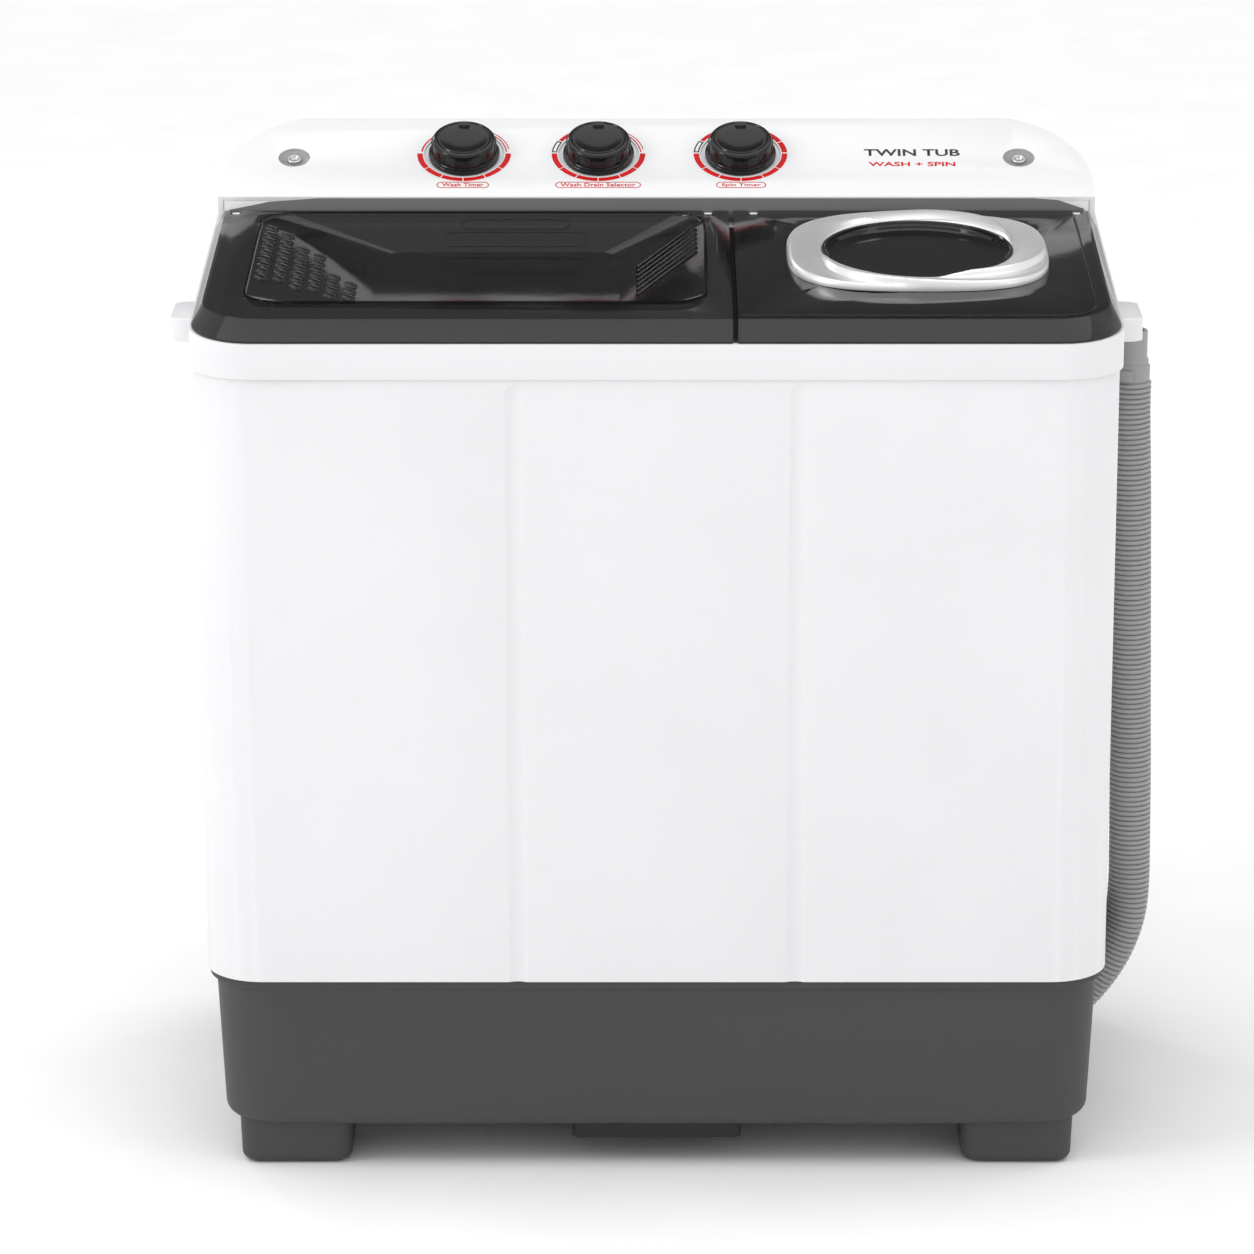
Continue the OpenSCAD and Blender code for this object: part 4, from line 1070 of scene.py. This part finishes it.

# %% [markdown]
# The spin lid has a round window. The hole is cut after the walls are made, straight through
# the wall, and a thin bead runs round the lid's flat top.

# %% Spin lid
RING_X, RING_V = 0.212, 0.170
WINDOW_R = 0.079
SPIN_IN, SPIN_OUT = 0.064, 0.368
spin_lid = lid_block("spin_lid_shell", SPIN_IN, SPIN_OUT)
lid_walls(spin_lid, lambda middle, way: middle.z < LIP_W - 0.0001)
cut(spin_lid, start("cylinder", "window_hole", vertices=96, radius=WINDOW_R + 0.0002,
                    depth=0.02, location=(RING_X, RING_V, 0)))
hinge_slots(spin_lid, (0.078, 0.348))
rounded(spin_lid, 0.0007, 14)
dressed(placed(spin_lid, LID), "spin_lid", smooth=25)
edge = [(0.348, 0.280)] + arc(0.030, 0, -90, 10, 0.318, 0.038) + [(0.067, 0.008)]
bead = raised_line("spin_lid_bead", edge, 0.0008)
dressed(placed(bead, LID @ at(0, 0, 0.0002)), body="spin_lid", slot="smoked_plastic",
        smooth=60)

# %% [markdown]
# The silver ring is nearly square outside and round inside. Four creases wind from its
# outer edge to its inner edge, each over a quarter of a turn, and give it its twist. Rings
# of points are extruded outwards one by one, and then each point's height is worked out
# from how far it lies between the edges and how far round the ring.

# %% Silver ring
RING_ROWS = 30
RING_TURN = 288
CREASE_WIND = 80
RING_IN = 0.0775


def squircle(turn, half_x, half_y, power=3.1):
    """How far a soft square's edge lies from its middle, at an angle."""
    c, s = abs(math.cos(turn)), abs(math.sin(turn))
    return ((c / half_x) ** power + (s / half_y) ** power) ** (-1 / power)


def ring_height(share, turn):
    """Height over the lid; share goes from 0 at the outer edge to 1 at the inner one."""
    phase = ((math.degrees(turn) + CREASE_WIND * share - 5) / 90) % 1.0
    fall = phase / 0.90 if phase < 0.90 else (1 - phase) / 0.10
    twist = (0.0030 - 0.0060 * fall) * min(1, 7 * share) * min(1, 6 * (1 - share))
    rise = 0.0066 + 0.0016 * math.sin(math.pi * share)
    edge = min(1.0, 12 * share, 14 * (1 - share) + 0.25)
    return rise * (0.45 + 0.55 * math.sqrt(edge)) + twist


ring = turned("spin_lid_ring_cast", [(1.0 + i, 0) for i in range(RING_ROWS + 3)], RING_TURN,
              False)
for point in ring.data.vertices:
    turn = math.atan2(point.co.y, point.co.x)
    row = round(point.co.length) - 1
    outer = squircle(turn, 0.106, 0.099)
    share = 1 - min(max(row - 1, 0), RING_ROWS) / RING_ROWS
    reach = outer + (RING_IN - outer) * share
    low = row in (0, RING_ROWS + 2)
    height = 0.0002 if low else ring_height(share, turn)
    point.co = (reach * math.cos(turn), reach * math.sin(turn), height)


def close_ring():
    """Joins the first and last rows of points under the ring."""
    bpy.ops.mesh.select_non_manifold()
    bpy.ops.mesh.bridge_edge_loops()
    bpy.ops.mesh.select_all(action="SELECT")
    bpy.ops.mesh.normals_make_consistent(inside=False)


edit(ring, "EDGE", lambda middle, way: False, close_ring)
dressed(placed(ring, LID @ at(RING_X, RING_V, 0)), "spin_lid_ring", smooth=50)

# %% [markdown]
# The window is a shallow cup of smoked plastic. Its rim lines the ring's inner wall, with a
# thin step near the top that catches the light.

# %% Window
window = turned("spin_lid_window_disc", [
    (0.0040, -0.0004), (0.0400, -0.0006), (0.0660, -0.0010), (0.0712, -0.0006),
    (0.0730, 0.0006), (0.0738, 0.0030), (0.0748, 0.0036), (0.0752, 0.0058),
    (0.0758, 0.0064), (0.0770, 0.0064), (0.0773, 0.0058), (0.0773, -0.0020),
    (0.0770, -0.0024), (0.0040, -0.0026),
], 128)
dressed(placed(window, LID @ at(RING_X, RING_V, 0)), "spin_lid_window")

# %% [markdown]
# ## Inside and behind
# The rest keeps the model's shape. Pieces that show when a lid is open or from behind get
# rounded edges; the others get their finish only.

# %% Rounded inner pieces
for name, width in (
    ("rear_cover", 0.0006), ("wash_tub", 0.0010), ("spin_tub", 0.0010),
    ("pulsator", 0.0010), ("spin_basket", 0.0006), ("balance_ring", 0.0010),
    ("spin_inner_cover", 0.0008), ("lint_filter", 0.0005), ("filter_duct", 0.0006),
    ("inlet_connector", 0.0006), ("cord_gland", 0.0005),
):
    softened(name, width)

# %% Finish for the nodes that stay
for name, piece in nodes.items():
    if not piece.hide_render:
        piece.data.materials.clear()
        piece.data.materials.append(finishes[slot_of[name]].material)
print("dressed nodes:", sum(not piece.hide_render for piece in nodes.values()))

# %% [markdown]
# ## Studio
# The machine stands on a wide pale floor. The light is plain and soft: a white surround,
# darker in one patch behind the machine so that the smoked lids stay dark, and two large
# panels of light in front.

# %% Floor
floor = start("plane", "floor", size=40, location=(0, 8, 0))
floor_finish = moulded("pale_floor", (0.93, 0.93, 0.932), 0.7, 60, 0.02)
floor.data.materials.append(floor_finish.material)

# %% Surround
world = bpy.data.worlds.new("studio")
world.use_nodes = True
bpy.context.scene.world = world
sky = world.node_tree
way = grow_node(sky, "TexCoord", output="Generated")
facing = grow_node(sky, "VectorMath", {"operation": "DOT_PRODUCT"},
                   {0: way, 1: (0.0, 0.86, 0.51)}, 1)
flag = grow_node(sky, "MapRange", {"interpolation_type": "SMOOTHSTEP"},
                 {"Value": facing, "From Min": 0.66, "From Max": 0.92})
feed(sky.nodes["Background"].inputs["Strength"], 0.96 - flag * 0.83)
feed(sky.nodes["Background"].inputs["Color"], (1.0, 1.0, 1.0, 1.0))


def panel_light(name, place, aim, size, power):
    """A large soft light that looks at a point."""
    bpy.ops.object.light_add(type="AREA", location=place)
    light = bpy.context.object
    light.name = name
    light.data.shape = "RECTANGLE"
    light.data.size, light.data.size_y = size
    light.data.energy = power
    light.rotation_euler = (Vector(aim) - Vector(place)).to_track_quat("-Z", "Y").to_euler()
    return light


panel_light("left_panel", (-3.2, -1.5, 2.4), (0, 0, 0.4), (1.0, 1.6), 30)
panel_light("right_panel", (3.0, -1.8, 2.2), (0, 0, 0.4), (0.9, 1.6), 5)
panel_light("rear_strip", (-1.9, 2.4, 2.2), (0, 0, 0.7), (0.3, 1.4), 9)
bpy.ops.object.light_add(type="SUN", location=(0, 0, 5), rotation=(0, 0, 0))
overhead = bpy.context.object
overhead.name = "overhead"
overhead.data.energy = 0.92
overhead.data.angle = math.radians(70)
bpy.context.scene.view_settings.view_transform = "Standard"
